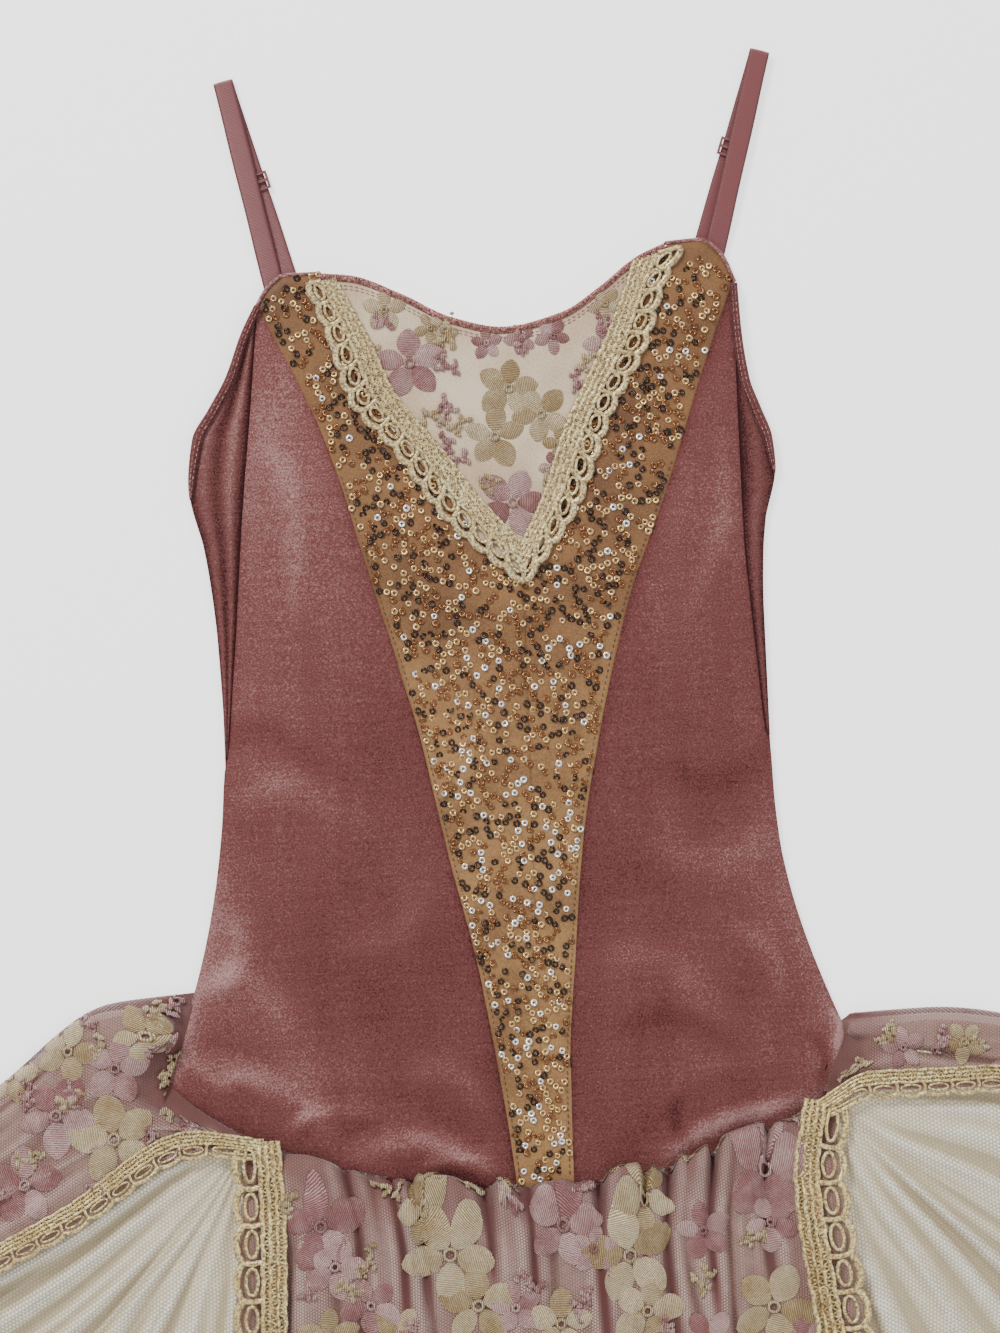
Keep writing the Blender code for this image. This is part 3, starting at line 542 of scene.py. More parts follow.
def crease_height(x, y, creases):
    """Sum of the creases: height times a bell across the line, faded over its last third."""
    total = np.zeros(np.shape(x))
    for start, stop, height, half in creases:
        start, way = np.array(start, float), np.subtract(stop, start).astype(float)
        size = np.linalg.norm(way)
        way /= size
        along = (x - start[0]) * way[0] + (y - start[1]) * way[1]
        bend = half * 0.8 * np.sin(along / size * math.pi * 1.3)
        across = (y - start[1]) * way[0] - (x - start[0]) * way[1] - bend
        ends = smoothstep(along, -size * 0.2, size * 0.25) * (1 - smoothstep(along, size * 0.7, size * 1.2))
        total += height * ends * np.exp(-(across / half) ** 2)
    return total


def seam_dip(grid, depth=0.55, reach=2.6):
    """Cloth sinks towards the stitches at all four edges, by an exponential of the distance."""
    across = np.linalg.norm(np.diff(grid, axis=1), axis=2)
    along = np.linalg.norm(np.diff(grid, axis=0), axis=2)
    right = np.concatenate([np.zeros((len(grid), 1)), np.cumsum(across, axis=1)], axis=1)
    up = np.concatenate([np.zeros((1, grid.shape[1])), np.cumsum(along, axis=0)], axis=0)
    near = np.minimum(np.minimum(right, right[:, -1:] - right), np.minimum(up, up[-1:] - up))
    return -depth * np.exp(-near / reach)


def nap_and_shading_of(grid, x, y, creases):
    """Value from 0 to 1 of painted light and shade: paler towards the top, beside the side creases, at the
    rims, on crests and on slopes that face the light, with painted highlights above the hip seam; darker in
    troughs and in a painted shadow below SHADOW_LINE.
    """
    slope = grid_normals(grid)
    # painted light on slopes that face the key light, up and to the left
    facing_light = slope[..., 1] * 1.0 - slope[..., 0] * 0.3
    x_left = np.interp(y, EDGE_LEFT[:, 1], EDGE_LEFT[:, 0])
    x_right = np.interp(y, EDGE_RIGHT[:, 1], EDGE_RIGHT[:, 0])
    # painted light in bands beside the outlines, and painted sheen at the rims
    beside = np.exp(-(((x - x_left - 30) / 20) ** 2)) + 0.5 * np.exp(-(((x_right - x - 44) / 26) ** 2))
    rim = np.exp(-((x - x_left) / 9)) + np.exp(-((x_right - x) / 12))
    height = 0.38 + 0.14 * smoothstep(y, 150, 400) * (1 - 0.7 * smoothstep(x, 10, 90))
    height = height + 0.12 * beside * smoothstep(y, 100, 330) + 0.34 * rim * (1 - smoothstep(y, 120, 240))
    # painted shadow below SHADOW_LINE at the lower left, and a painted glow that fades upwards from it
    border = np.interp(x, *np.transpose(SHADOW_LINE))
    shadow = (1 - smoothstep(y, border - 3, border + 3)) * (1 - smoothstep(x, -50, -20))
    painted_glow = 0.22 * (1 - smoothstep(y, border, border + 60)) * (1 - smoothstep(x, -110, -40))
    # painted highlights above the hip seam; crests painted paler and troughs darker by the creases
    height = height + painted_glow - 0.2 * shadow + 0.1 * (1 - smoothstep(y, 20, 110)) * smoothstep(x, 20, 90)
    height = height + 0.12 * np.exp(-(((x + 70) / 50) ** 2) - ((y - 24) / 18) ** 2)
    return np.clip(height + 0.26 * crease_height(x, y, creases) + facing_light, 0, 1)


def bodice_panel(name, grid, finish, creases=CREASES, wall=VELVET, rise=0.0, extra=0.0, shade=0.0):
    """Shell on a panel's grid of x and y, over the form of the front, with its creases and its painted light
    and shade.
    """
    x, y = grid[..., 0], grid[..., 1]
    flat = np.dstack([grid, np.zeros(grid.shape[:2])])
    z = front_height(x, y) + wall + rise + extra + crease_height(x, y, creases) + seam_dip(flat)
    top = np.dstack([grid, z])
    # painted shade: the panel's own shade value, and darker towards its seams
    nap_and_shading = nap_and_shading_of(top, x, y, creases) - shade + 0.25 * seam_dip(flat)
    made = shells(name, [top], wall, finish, {"nap_and_shading": [nap_and_shading]})
    stands_for(name)
    return made


print("creases on the front:", len(CREASES), "and on the back:", len(BACK_CREASES))

# %% [markdown]
# Bodice
# The velvet is cut in one back, two front panels and two side panels that turn in under the arms.
# Each is sewn to its neighbour, so the grids share their seam lines and sink towards them.

# %% Velvet panels
ROWS = 112


def velvet_front(side, outline, crease, wedge, columns=60):
    """Patch between the crease and outline, the wedge's seam and the hip seam."""
    merge = fraction_at(outline, 216)
    outer = np.concatenate([line(crease, 8), line(outline, 7, merge, 1)])
    inner = line(wedge, 15, fraction_at(wedge, 446), 1) + ((0.7, 0) if side == "left" else (-0.7, 0))
    bottom = seam_between(outer[-1, 0], inner[-1, 0], columns)
    outer[-1], inner[-1] = bottom[0], bottom[-1]
    outer, inner = line(outer, ROWS), line(inner, ROWS)
    top = np.linspace(outer[0], inner[0], columns)
    grid = patch(bottom, top, outer[::-1], inner[::-1])
    return bodice_panel("velvet_front_" + side, grid, velvet)


def side_panel(side, outline, crease, flutes, columns=34):
    """Patch between outline and crease, lifted by flutes: cosine waves across it, with painted shade in their
    troughs and by the crease.
    """
    outer = line(outline, 60, 0.004, fraction_at(outline, 222))[::-1]
    inner = line(crease, 60)[::-1]
    bottom = np.linspace(outer[0], inner[0], columns)
    top = np.linspace(outer[-1], inner[-1], columns)
    grid = patch(bottom, top, outer, inner)
    across = np.linspace(0, 1, columns)[None, :]
    width = np.linalg.norm(grid[:, 0] - grid[:, -1], axis=1)[:, None]
    depth = np.minimum(1.5, width * 0.07)
    wave = 0.5 - 0.5 * np.cos(2 * math.pi * flutes * across**1.15)
    # painted shade in the flutes' troughs and by the crease, painted light on their crests
    shade = 0.30 - 0.34 * wave + 0.25 * smoothstep(across, 0.9, 1.0)
    return bodice_panel("side_panel_" + side, grid, shaded_velvet, [], extra=depth * wave - 0.2, shade=shade)


velvet_front("left", OUTLINE_LEFT, CREASE_LEFT, SEQUIN_LEFT)
velvet_front("right", OUTLINE_RIGHT, CREASE_RIGHT, SEQUIN_RIGHT)
side_panel("left", OUTLINE_LEFT, CREASE_LEFT, 2)
side_panel("right", OUTLINE_RIGHT, CREASE_RIGHT, 1)


def bodice_back():
    """One flat patch from the hip seam to the scoop, with armholes at both sides."""
    rows = 12
    armhole_left = np.array([(-160.5, 360), (-134, 374), (-112, 392), BACK_SCOOP[0]])
    armhole_right = np.array([(131.6, 358), (112, 374), (96, 392), BACK_SCOOP[-1]])
    left = np.concatenate([line(OUTLINE_LEFT, rows, 1, fraction_at(OUTLINE_LEFT, 358)), armhole_left[1:]])
    right = np.concatenate([line(OUTLINE_RIGHT, rows, 1, fraction_at(OUTLINE_RIGHT, 358)), armhole_right[1:]])
    left, right = line(left, 80), line(right, 80)
    bottom = seam_between(left[0, 0], right[0, 0], 60)
    grid = patch(bottom, line(BACK_SCOOP, 60), left, right)
    x, y = grid[..., 0], grid[..., 1]
    top = np.dstack([grid, VELVET + 0.3 * crease_height(x, y, BACK_CREASES)])
    made = shells("bodice_back", [top], VELVET, velvet, {"nap_and_shading": [nap_and_shading_of(top, x, y, BACK_CREASES)]})
    stands_for("bodice_back")
    return made


bodice_back()
print("velvet panels made")

# %% Armhole edges and their stitches
def on_front(points, rise):
    """Points of x and y lifted to the top of the bodice's velvet, plus a rise."""
    points = np.asarray(points, float)
    z = front_height(points[:, 0], points[:, 1]) + VELVET + rise
    return np.column_stack([points[:, :2], z])


def stitch_arrays(path, length, gap, radius):
    """Short thread humps along a path, spaced evenly: each a small bent tube."""
    along = lengths(path)
    starts = np.arange(gap, along[-1] - length, length + gap)
    parts = []
    for start in starts:
        share = (start + np.linspace(0, length, 4)) / along[-1]
        arc = at(path, share)
        arc[:, 2] += radius * np.array([-0.5, 0.9, 0.9, -0.5])
        parts.append(tube_arrays(arc, radius, 5))
    return parts


def thread_look(name, colour, roughness=0.45, metallic=0.0, grain=900.0, sheen=0.2):
    """Twisted yarn or metal thread: fine noise varies its colour, darker in painted shade at its low spots
    and paler in painted glints at its high ones.
    """
    look = Look(name, roughness=roughness, metallic=metallic, sheen_weight=sheen)
    spot = look.place()
    grains = look.noise(spot, grain, 2.0, 0.7)
    patches = look.noise(spot, 60.0, 2.0)
    # painted shade for the grain's low spots and painted glints for its high ones
    dark = tuple(c * 0.26 for c in colour[:3]) + (1,)
    light = tuple(min(c * 1.7 + 0.15, 1) for c in colour[:3]) + (1,)
    base = look.mix(look.ramp(grains, 0.34, 0.56), dark, colour)
    look.set("Base Color", look.mix(look.ramp(grains * 0.8 + patches * 0.2, 0.52, 0.66), base, light))
    look.bump(grains, 0.6, 0.0003)
    return look.material


rose_thread = thread_look("rose_thread", srgb(150, 92, 88))
dark_thread = thread_look("dark_thread", srgb(72, 40, 38))


def armhole_binding(side, outline, way, flute, columns=9):
    """A turned edge that rolls over its elastic, with two rows of stitches along it."""
    edge = line(outline, 90, 0.004, fraction_at(outline, 352))
    run = np.gradient(edge, axis=0)
    normal = np.column_stack([run[:, 1], -run[:, 0]]) / np.linalg.norm(run, axis=1, keepdims=True)
    ending = np.sqrt(np.clip(np.linspace(1, 0, 90) / 0.3, 0.02, 1))
    width = (np.linspace(BINDING_WIDTH * 0.6, BINDING_WIDTH, 90) * ending)[:, None, None]
    share = np.linspace(0, 1, columns)[None, :, None]
    grid = edge[:, None] - way * normal[:, None] * width * share
    roll = 0.5 * np.sin(math.pi * share[..., 0]) ** 0.5
    ripple = 0.12 * np.sin(np.linspace(0, 60 * math.pi, 90))[:, None] * (1 - share[..., 0])
    z = front_height(grid[..., 0], grid[..., 1]) + VELVET + LAID_GAP + flute + LACE - 0.3 + roll + ripple
    top = np.dstack([grid, z])
    # painted light on the roll, painted shade towards the binding's inner side
    nap_and_shading = 0.45 + 0.1 * roll - 0.25 * share[..., 0] + 0 * z
    made = shells("armhole_binding_" + side, [top], LACE, shaded_velvet, {"nap_and_shading": [nap_and_shading]})
    stands_for("armhole_binding_" + side)
    rows = [top[:, 3] + (0, 0, 0.1), top[:, 6] + (0, 0, 0.1)]
    points, faces, which = joined([part for row in rows for part in stitch_arrays(row, 1.8, 1.1, 0.28)])
    sewn = mesh_object("armhole_stitches_" + side, points, faces, rose_thread)
    return made


armhole_binding("left", OUTLINE_LEFT, 1, 1.0)
armhole_binding("right", OUTLINE_RIGHT, -1, 0.3)

# %% [markdown]
# Sequinned wedge
# The wedge is stretch mesh with small ring sequins sewn on in wandering chains. The mesh is a
# shell in two halves that meet below the V, and each sequin is a flat ring of its own, tilted a
# little, in bronze, gold or a dark tone, or near white as a painted glint that is more common low
# down, all joined in one mesh from arrays.

# %% Wedge of mesh
def wedge_half(wedge, notch, corner, columns=26, rows=112):
    """Grid of one half: the outer seam line on one side, the V and then the middle on the other."""
    outer = line(wedge, rows)
    arm = line(notch, 30)
    middle = np.linspace(arm[-1], (0.5, 0.4), 36)
    inner = line(np.concatenate([arm, middle[1:]]), rows)
    share = lengths(outer)[:, None] / lengths(outer)[-1]
    outer = line(wedge, rows)
    corner = line(corner, columns)
    corner[0], corner[-1] = outer[0], inner[0]
    return patch(np.linspace(outer[-1], inner[-1], columns), corner, outer[::-1], inner[::-1]), share


half_left, share = wedge_half(SEQUIN_LEFT, NOTCH_LEFT, CORNER_LEFT)
half_right, share = wedge_half(SEQUIN_RIGHT, NOTCH_RIGHT, CORNER_RIGHT[::-1])
WEDGE_CREASES = [
    ((-30, 96), (-8, 40), 0.5, 5.0),
    ((22, 104), (6, 46), -0.4, 4.0),
    ((-62, 262), (-20, 214), 0.4, 8.0),
    ((52, 270), (14, 196), 0.35, 8.0),
    ((-98, 392), (-80, 340), -0.35, 6.0),
]


def wedge_top(grid):
    """Top of the wedge: the front's height, the velvet's wall, its creases and its sunken seams."""
    x, y = grid[..., 0], grid[..., 1]
    flat = np.dstack([grid, np.zeros(grid.shape[:2])])
    dips = seam_dip(flat)
    half = dips.shape[1] // 2
    dips[:, half:] = np.maximum(dips[:, half:], -0.02)
    return np.dstack([grid, front_height(x, y) + VELVET + crease_height(x, y, WEDGE_CREASES) + dips])


tan = Look("tan_mesh", roughness=0.6, metallic=0.1, sheen_weight=0.3, sheen_roughness=0.4)
spot = tan.place()
weave = tan.noise(spot, 1100.0, 2.0, 0.7)
patches = tan.noise(spot, 30.0, 2.0)
glow = tan.ramp(patches * 0.5 + weave * 0.5, 0.3, 0.7)
middle = tan.mix(glow, srgb(118, 80, 44), srgb(174, 130, 80))
arms = tan.mix(glow, srgb(98, 62, 34), srgb(148, 104, 60))
tan.set("Base Color", tan.mix(tan.attribute("arm"), middle, arms))
tan.bump(weave, 0.5, 0.0004)

wedge_tops = [wedge_top(half_left), wedge_top(half_right)]
arm_shade = [smoothstep(half[..., 1], 190, 330) for half in (half_left, half_right)]
panel = shells("sequin_panel", wedge_tops, VELVET, tan.material, {"arm": arm_shade})
stands_for("sequin_panel")

# %% Ring sequins
SEQUIN_OUTER, SEQUIN_INNER, SEQUIN_STEP, SEQUIN_CLEAR = 1.8, 0.72, 3.6, 3.0
CHAINS, CHAIN_LENGTH = 2400, 7
rng = np.random.default_rng(5)


def on_wedge(points):
    """Whether points are on the wedge: between its seams, below its corners and outside the V."""
    x, y = points[:, 0], points[:, 1]
    rows = [np.array(line(table, 200)) for table in (SEQUIN_LEFT, SEQUIN_RIGHT, NOTCH_LEFT, NOTCH_RIGHT)]
    left, right, notch_left, notch_right = (np.interp(y, row[::-1, 1], row[::-1, 0]) for row in rows)
    wide = (x > left + 2.2) & (x < right - 2.2) & (y > 5) & (y < 464)
    low_corner = y < 448 + 14 * smoothstep(np.abs(x), 123, 96)
    in_notch = (y > 306) & (x > notch_left + 1) & (x < notch_right - 1)
    return wide & low_corner & ~in_notch


def wandering_chains():
    """Chains of sequins from random starts: each turns a little at every step and avoids the others."""
    found, chain_of = np.zeros((0, 2)), []
    starts = np.column_stack([rng.uniform(-122, 116, CHAINS * 4), rng.uniform(4, 464, CHAINS * 4)])
    starts = starts[on_wedge(starts)][:CHAINS]
    headings = rng.uniform(0, 2 * math.pi, len(starts))
    turns = rng.normal(0, 0.55, len(starts))
    for number, (spot, heading, turn) in enumerate(zip(starts, headings, turns)):
        steps = np.arange(CHAIN_LENGTH)
        angles = heading + turn * steps + 0.3 * np.sin(steps * 2.1 + number)
        walk = spot + SEQUIN_STEP * np.cumsum(np.column_stack([np.cos(angles), np.sin(angles)]), axis=0)
        good = on_wedge(walk)
        if len(found):
            near = np.linalg.norm(walk[:, None] - found[None], axis=2).min(axis=1)
            good &= near > SEQUIN_CLEAR
        stop = len(good) if good.all() else int(np.argmin(good))
        if stop >= 1:
            found = np.concatenate([found, walk[:stop]])
            chain_of += [number] * stop
    return found, np.array(chain_of)


flat_centres, chain_of = wandering_chains()
centres = on_front(flat_centres, 0.0)


def ring_arrays(centres, outer, inner, thick, tilt, sides=10):
    """Flat rings: outer and inner circles, a thickness apart, tilted at random about x and y."""
    turn = np.arange(sides) * 2 * math.pi / sides
    circle = np.column_stack([np.cos(turn), np.sin(turn), 0 * turn])
    up = np.array([0, 0, thick])
    one = np.concatenate([circle * outer, circle * outer + up, circle * inner + up, circle * inner])
    a, b = rng.normal(0, tilt, (2, len(centres)))
    size = rng.uniform(0.9, 1.08, (len(centres), 1, 1))
    points = np.repeat(one[None], len(centres), axis=0) * size
    points[..., 2] += points[..., 0] * np.tan(b)[:, None] + points[..., 1] * np.tan(a)[:, None]
    points = points + centres[:, None]
    side = np.arange(sides)
    after = (side + 1) % sides
    bands = [np.column_stack([side + band * sides, after + band * sides,
                              after + (band + 1) * sides, side + (band + 1) * sides]) for band in range(3)]
    faces = np.concatenate(bands)[None] + (np.arange(len(centres)) * 4 * sides)[:, None, None]
    return points.reshape(-1, 3), faces.reshape(-1, 4)


points, faces = ring_arrays(centres + (0, 0, 0.35), SEQUIN_OUTER, SEQUIN_INNER, 0.25, 0.26)
chain_mood = rng.random(CHAINS * 4)[chain_of]
pick = 0.55 * rng.random(len(centres)) + 0.45 * chain_mood
tone = np.select([pick < 0.36, pick < 0.56, pick < 0.80], [0, 1, 2], 3)
# painted glints: a share of the sequins turned near white, larger towards the bottom of the wedge
glint_share = 0.03 + 0.19 * (1 - smoothstep(centres[:, 1], 150, 330))
tone = np.where(rng.random(len(centres)) < glint_share, 3, np.where(tone == 3, 0, tone))
bronze, gold, dark, painted_glint = srgb(140, 90, 50), srgb(222, 182, 124), srgb(50, 28, 16), srgb(255, 252, 244)
palette = np.array([bronze[:3], gold[:3], dark[:3], painted_glint[:3]])
tones = np.repeat(palette[tone], 40, axis=0)
film = Look("sequin_film", roughness=0.14, metallic=0.8, coat_weight=0.5, coat_roughness=0.05)
film.set("Base Color", film.tint("tone"))
sequins = mesh_object("ring_sequins", points, faces, film.material, smooth=False, colours={"tone": tones})
seam_rows = [line(SEQUIN_LEFT, 400, 0.2, 0.99) + (2.2, 0), line(SEQUIN_RIGHT, 400, 0.2, 0.99) - (2.2, 0)]
parts = [part for row in seam_rows for part in stitch_arrays(on_front(row, 0.1), 1.5, 1.6, 0.22)]
points, faces, which = joined(parts)
mesh_object("wedge_stitches", points, faces, dark_thread)
print("sequins:", len(centres))

# %% Bound top corners
corners = []
for table in (CORNER_LEFT, CORNER_RIGHT):
    corners.append(tube_arrays(on_front(line(table, 40), -0.3), 1.0, 8, 0.9))
points, faces, which = joined(corners)
mesh_object("corner_edges", points, faces, rose_thread)

# %% [markdown]
# Embroidery
# The flowers are satin stitch: threads side by side fill each petal and round it up. A petal is a
# small dome over a leaf-shaped outline, a flower is a ring of petals, and a sprig is a bent stem
# with short leaves. They are made flat, in millimetres, and then laid on the cloth's own height.

# %% Stitched flowers and sprigs
def petal_arrays(base, angle, length, width, height):
    """Oval dome: its half width is a root of the sine along it; its height falls with the square across."""
    s = np.linspace(0, 1, 8)[:, None]
    v = np.linspace(-1, 1, 5)[None, :]
    half = width / 2 * np.sin(math.pi * np.clip(s, 0.015, 0.985)) ** 0.55
    x, y = s * length + 0 * v, v * half
    z = height * (1 - 0.85 * v**2) * np.sin(math.pi * np.clip(s, 0.06, 0.94)) ** 0.5
    cos, sin = math.cos(angle), math.sin(angle)
    points = np.dstack([base[0] + x * cos - y * sin, base[1] + x * sin + y * cos, z + 0 * v]).reshape(-1, 3)
    uv = np.dstack([x, y + 0 * s]).reshape(-1, 2)
    return points, quads(8, 5)[:, ::-1], uv


class Stitching:
    """Collects petals and stems with their tone, UV and the flower's centre."""

    def __init__(self, seed):
        self.draw = np.random.default_rng(seed)
        self.parts, self.uvs, self.tones, self.centres, self.lights = [], [], [], [], []

    def add(self, points, faces, uv, tone, centre):
        """Keeps a part with its tone, a random light value for its painted sheen and its flower's centre."""
        self.parts.append((points, faces))
        self.uvs.append(uv)
        self.tones.append(np.full(len(points), tone))
        self.lights.append(np.full(len(points), self.draw.uniform(0, 1)))
        self.centres.append(np.repeat([centre], len(points), axis=0))

    def petal(self, base, angle, length, width, height, tone, centre):
        """One petal, whose threads start at a random place in their pattern."""
        points, faces, uv = petal_arrays(base, angle, length, width, height)
        self.add(points, faces, uv + self.draw.uniform(0, 40, 2), tone, centre)

    def flower(self, x, y, radius, tone, petals=5, turn=0.0):
        """Petals at nearly even turns round a centre, with a small ring over their roots."""
        for i in range(petals):
            angle = turn + 2 * math.pi * (i + self.draw.uniform(-0.08, 0.08)) / petals
            base = (x + 0.16 * radius * math.cos(angle), y + 0.16 * radius * math.sin(angle))
            length = radius * self.draw.uniform(0.82, 1.0)
            width = length * self.draw.uniform(0.68, 0.84)
            self.petal(base, angle, length, width, 1.0, tone, (x, y))
        turns = np.linspace(0, 2 * math.pi, 11)
        ring = np.column_stack([x + 0.13 * radius * np.cos(turns), y + 0.13 * radius * np.sin(turns),
                                0 * turns + 0.9])
        points, faces = tube_arrays(ring, 0.8, 5)
        self.add(points, faces, points[:, :2], tone, (x, y))

    def knots(self, path, tone, centre):
        """Small stitched knots, strung on a path with a little disorder."""
        for spot in path:
            way = self.draw.uniform(0, math.pi)
            size = self.draw.uniform(1.2, 2.0)
            step = np.array([math.cos(way), math.sin(way)]) * size
            run = np.array([spot - step, spot - step * 0.4, spot + step * 0.4, spot + step])
            run = np.column_stack([run + self.draw.normal(0, 0.45, 2), np.full(4, 0.5)])
            points, faces = tube_arrays(run, np.array([0.25, 1.0, 1.0, 0.25]) * size * 0.72, 5)
            self.add(points, faces, points[:, :2], tone, centre)

    def sprig(self, x, y, length, tone, angle, branches=3):
        """A bent string of knots with shorter strings to its sides, like coral."""
        bend = self.draw.uniform(-0.9, 0.9)
        count = int(length / 1.5)
        way = angle + bend * np.linspace(0, 1, count)
        path = np.array([x, y]) + np.cumsum(np.column_stack([np.cos(way), np.sin(way)]) * 1.5, axis=0)
        self.knots(path, tone, (x, y))
        for i in range(branches):
            k = int(count * (i + 0.7) / (branches + 0.5))
            side = 1.0 if i % 2 else -1.0
            turn = way[min(k, count - 1)] + side * self.draw.uniform(0.7, 1.2)
            steps = np.arange(1, int(self.draw.integers(3, 6)))[:, None] * 1.5
            self.knots(path[min(k, count - 1)] + steps * (math.cos(turn), math.sin(turn)), tone, (x, y))

    def make(self, name, finish, drape):
        """Joins the parts, lays them on the cloth with drape and makes the mesh."""
        points, faces, which = joined(self.parts)
        laid_points = drape(points, np.concatenate(self.centres))
        made = mesh_object(name, laid_points, faces, finish, uv=np.concatenate(self.uvs),
                           values={"tone": np.concatenate(self.tones), "light": np.concatenate(self.lights)})
        print(name, "petals and stems:", len(self.parts))
        return made


silk = Look("embroidery_silk", roughness=0.36, metallic=0.15, sheen_weight=0.15, sheen_roughness=0.3)
spot = silk.place("UV", (1000.0, 1000.0, 1.0))
rows = silk.node("TexWave", {"wave_type": "BANDS", "bands_direction": "X"},
                 {"Vector": spot, "Scale": 0.36, "Distortion": 1.8, "Detail": 2.0})
fuzz = silk.noise(silk.place(), 900.0, 2.0, 0.7)
thread = silk.ramp(rows * 0.5 + fuzz * 0.5, 0.14, 0.84)
# painted sheen and shade: each petal's light value and noise patches pick a shaded or a highlighted colour
light = silk.attribute("light") + (silk.noise(silk.place(), 110.0, 2.0) - 0.5) * 1.4
pink = silk.mix(thread, silk.mix(light, srgb(112, 68, 68), srgb(150, 102, 98)),
                silk.mix(light, srgb(186, 128, 126), srgb(246, 212, 206)))
pale_gold = silk.mix(thread, silk.mix(light, srgb(122, 94, 56), srgb(160, 130, 86)),
                     silk.mix(light, srgb(206, 176, 128), srgb(255, 238, 200)))
silk.set("Base Color", silk.mix(silk.attribute("tone"), pink, pale_gold))
silk.bump(thread, 0.9, 0.0008)


SEAM_X_IN_PHOTO, SEAM_Y_IN_PHOTO = 544, 1190


def px(x, y):
    """Place on the dress, in pattern millimetres, of a place in the photograph, in its pixels."""
    dx, dy = (x - SEAM_X_IN_PHOTO) * MM_PER_PIXEL, (SEAM_Y_IN_PHOTO - y) * MM_PER_PIXEL
    return (dx * math.cos(TURN) + dy * math.sin(TURN), dy * math.cos(TURN) - dx * math.sin(TURN))


print("embroidery finish:", silk.material.name)

# %% [markdown]
# Neck insert
# Nude mesh fills the V. Its flowers are laid out as in the photograph: a large pink one at the left,
# a pale gold group in the middle, a pink one in the V's point and small ones along the neckline.

# %% Insert, its flowers and its piping
nude = Look("nude_mesh", roughness=0.75, sheen_weight=0.25)
spot = nude.place("Object", (1.0, 1.0, 0.0))
grain = nude.noise(spot, 900.0, 2.0)
warm = nude.noise(spot, 26.0, 2.0)
shade = nude.ramp(grain * 0.35 + warm * 0.65, 0.35, 0.65)
nude.set("Base Color", nude.mix(shade, srgb(196, 168, 136), srgb(228, 206, 178)))
nude.bump(grain, 0.4, 0.0003)


def insert_grid(columns=64, rows=54):
    """Patch inside the V, between the sides of the notch and the underside of the piping."""
    sides = [line(NOTCH_LEFT, 7), line(NOTCH_RIGHT, 7)]
    for side in sides:
        side[0] += 0.25 * (side[1] - side[0])
    left, right = line(sides[0], rows), line(sides[1], rows)
    top = line(NECKLINE, columns, 0.02, 0.98) - (0, PIPING_WIDTH * 0.7)
    top[0], top[-1] = left[0], right[0]
    return patch(np.linspace(left[-1], right[-1], columns), top, left[::-1], right[::-1])


INSERT_CREASES = [
    ((-60, 420), (-20, 350), 0.5, 7.0),
    ((40, 420), (16, 350), 0.5, 6.0),
    ((-20, 425), (10, 380), -0.4, 6.0),
]
grid = insert_grid()
x, y = grid[..., 0], grid[..., 1]
top = np.dstack([grid, front_height(x, y) + VELVET - 0.2 + crease_height(x, y, INSERT_CREASES)])
insert = shells("neck_insert", [top], VELVET, nude.material)
stands_for("neck_insert")

NECK_FLOWERS = [
    # x and y in the photograph, radius in millimetres, 0 pink or 1 gold, petals, turn
    (409, 365, 17.0, 0.0, 5, 0.4), (512, 504, 17.0, 0.0, 5, 1.2), (508, 390, 14.5, 1.0, 5, 0.1),
    (540, 416, 14.0, 1.0, 5, 0.8), (494, 438, 15.0, 1.0, 5, 1.5), (486, 345, 8.0, 0.0, 5, 0.3),
    (552, 338, 8.5, 0.0, 5, 1.0), (606, 345, 11.0, 0.0, 5, 0.6), (384, 312, 10.0, 1.0, 5, 0.2),
    (520, 341, 7.5, 0.0, 5, 0.7), (560, 446, 9.0, 1.0, 5, 0.5), (430, 330, 8.0, 1.0, 5, 0.9),
    (604, 306, 8.5, 1.0, 5, 0.9), (552, 468, 7.0, 0.0, 4, 0.2),
]
NECK_SPRIGS = [
    # x and y in the photograph, length in millimetres, 0 pink or 1 gold, heading in degrees
    (460, 375, 14, 0, 150), (452, 345, 13, 1, 100), (440, 395, 15, 0, -60), (470, 420, 12, 1, 200),
    (455, 440, 13, 0, 210), (560, 440, 13, 1, 20), (572, 395, 13, 0, 70), (470, 465, 12, 0, 160),
    (540, 470, 12, 1, -30), (500, 480, 11, 1, 220), (430, 345, 11, 1, 20), (420, 410, 12, 1, -50),
    (575, 370, 12, 1, 20), (520, 360, 12, 0, 80), (395, 330, 11, 0, 150), (365, 335, 10, 1, -80),
    (616, 322, 9, 0, 200),
]
neck = Stitching(11)
for fx, fy, radius, tone, petals, turn in NECK_FLOWERS:
    neck.flower(*px(fx, fy), radius, tone, petals, turn)
for fx, fy, length, tone, heading in NECK_SPRIGS:
    neck.sprig(*px(fx, fy), length, tone, math.radians(heading))


def on_insert(points, centres):
    """Points at the insert's height plus its creases and their own rise; the centres aren't needed."""
    z = front_height(points[:, 0], points[:, 1]) + VELVET - 0.1
    z = z + crease_height(points[:, 0], points[:, 1], INSERT_CREASES)
    return np.column_stack([points[:, :2], z + points[:, 2]])


neck_flowers = neck.make("neck_embroidery", silk.material, on_insert)

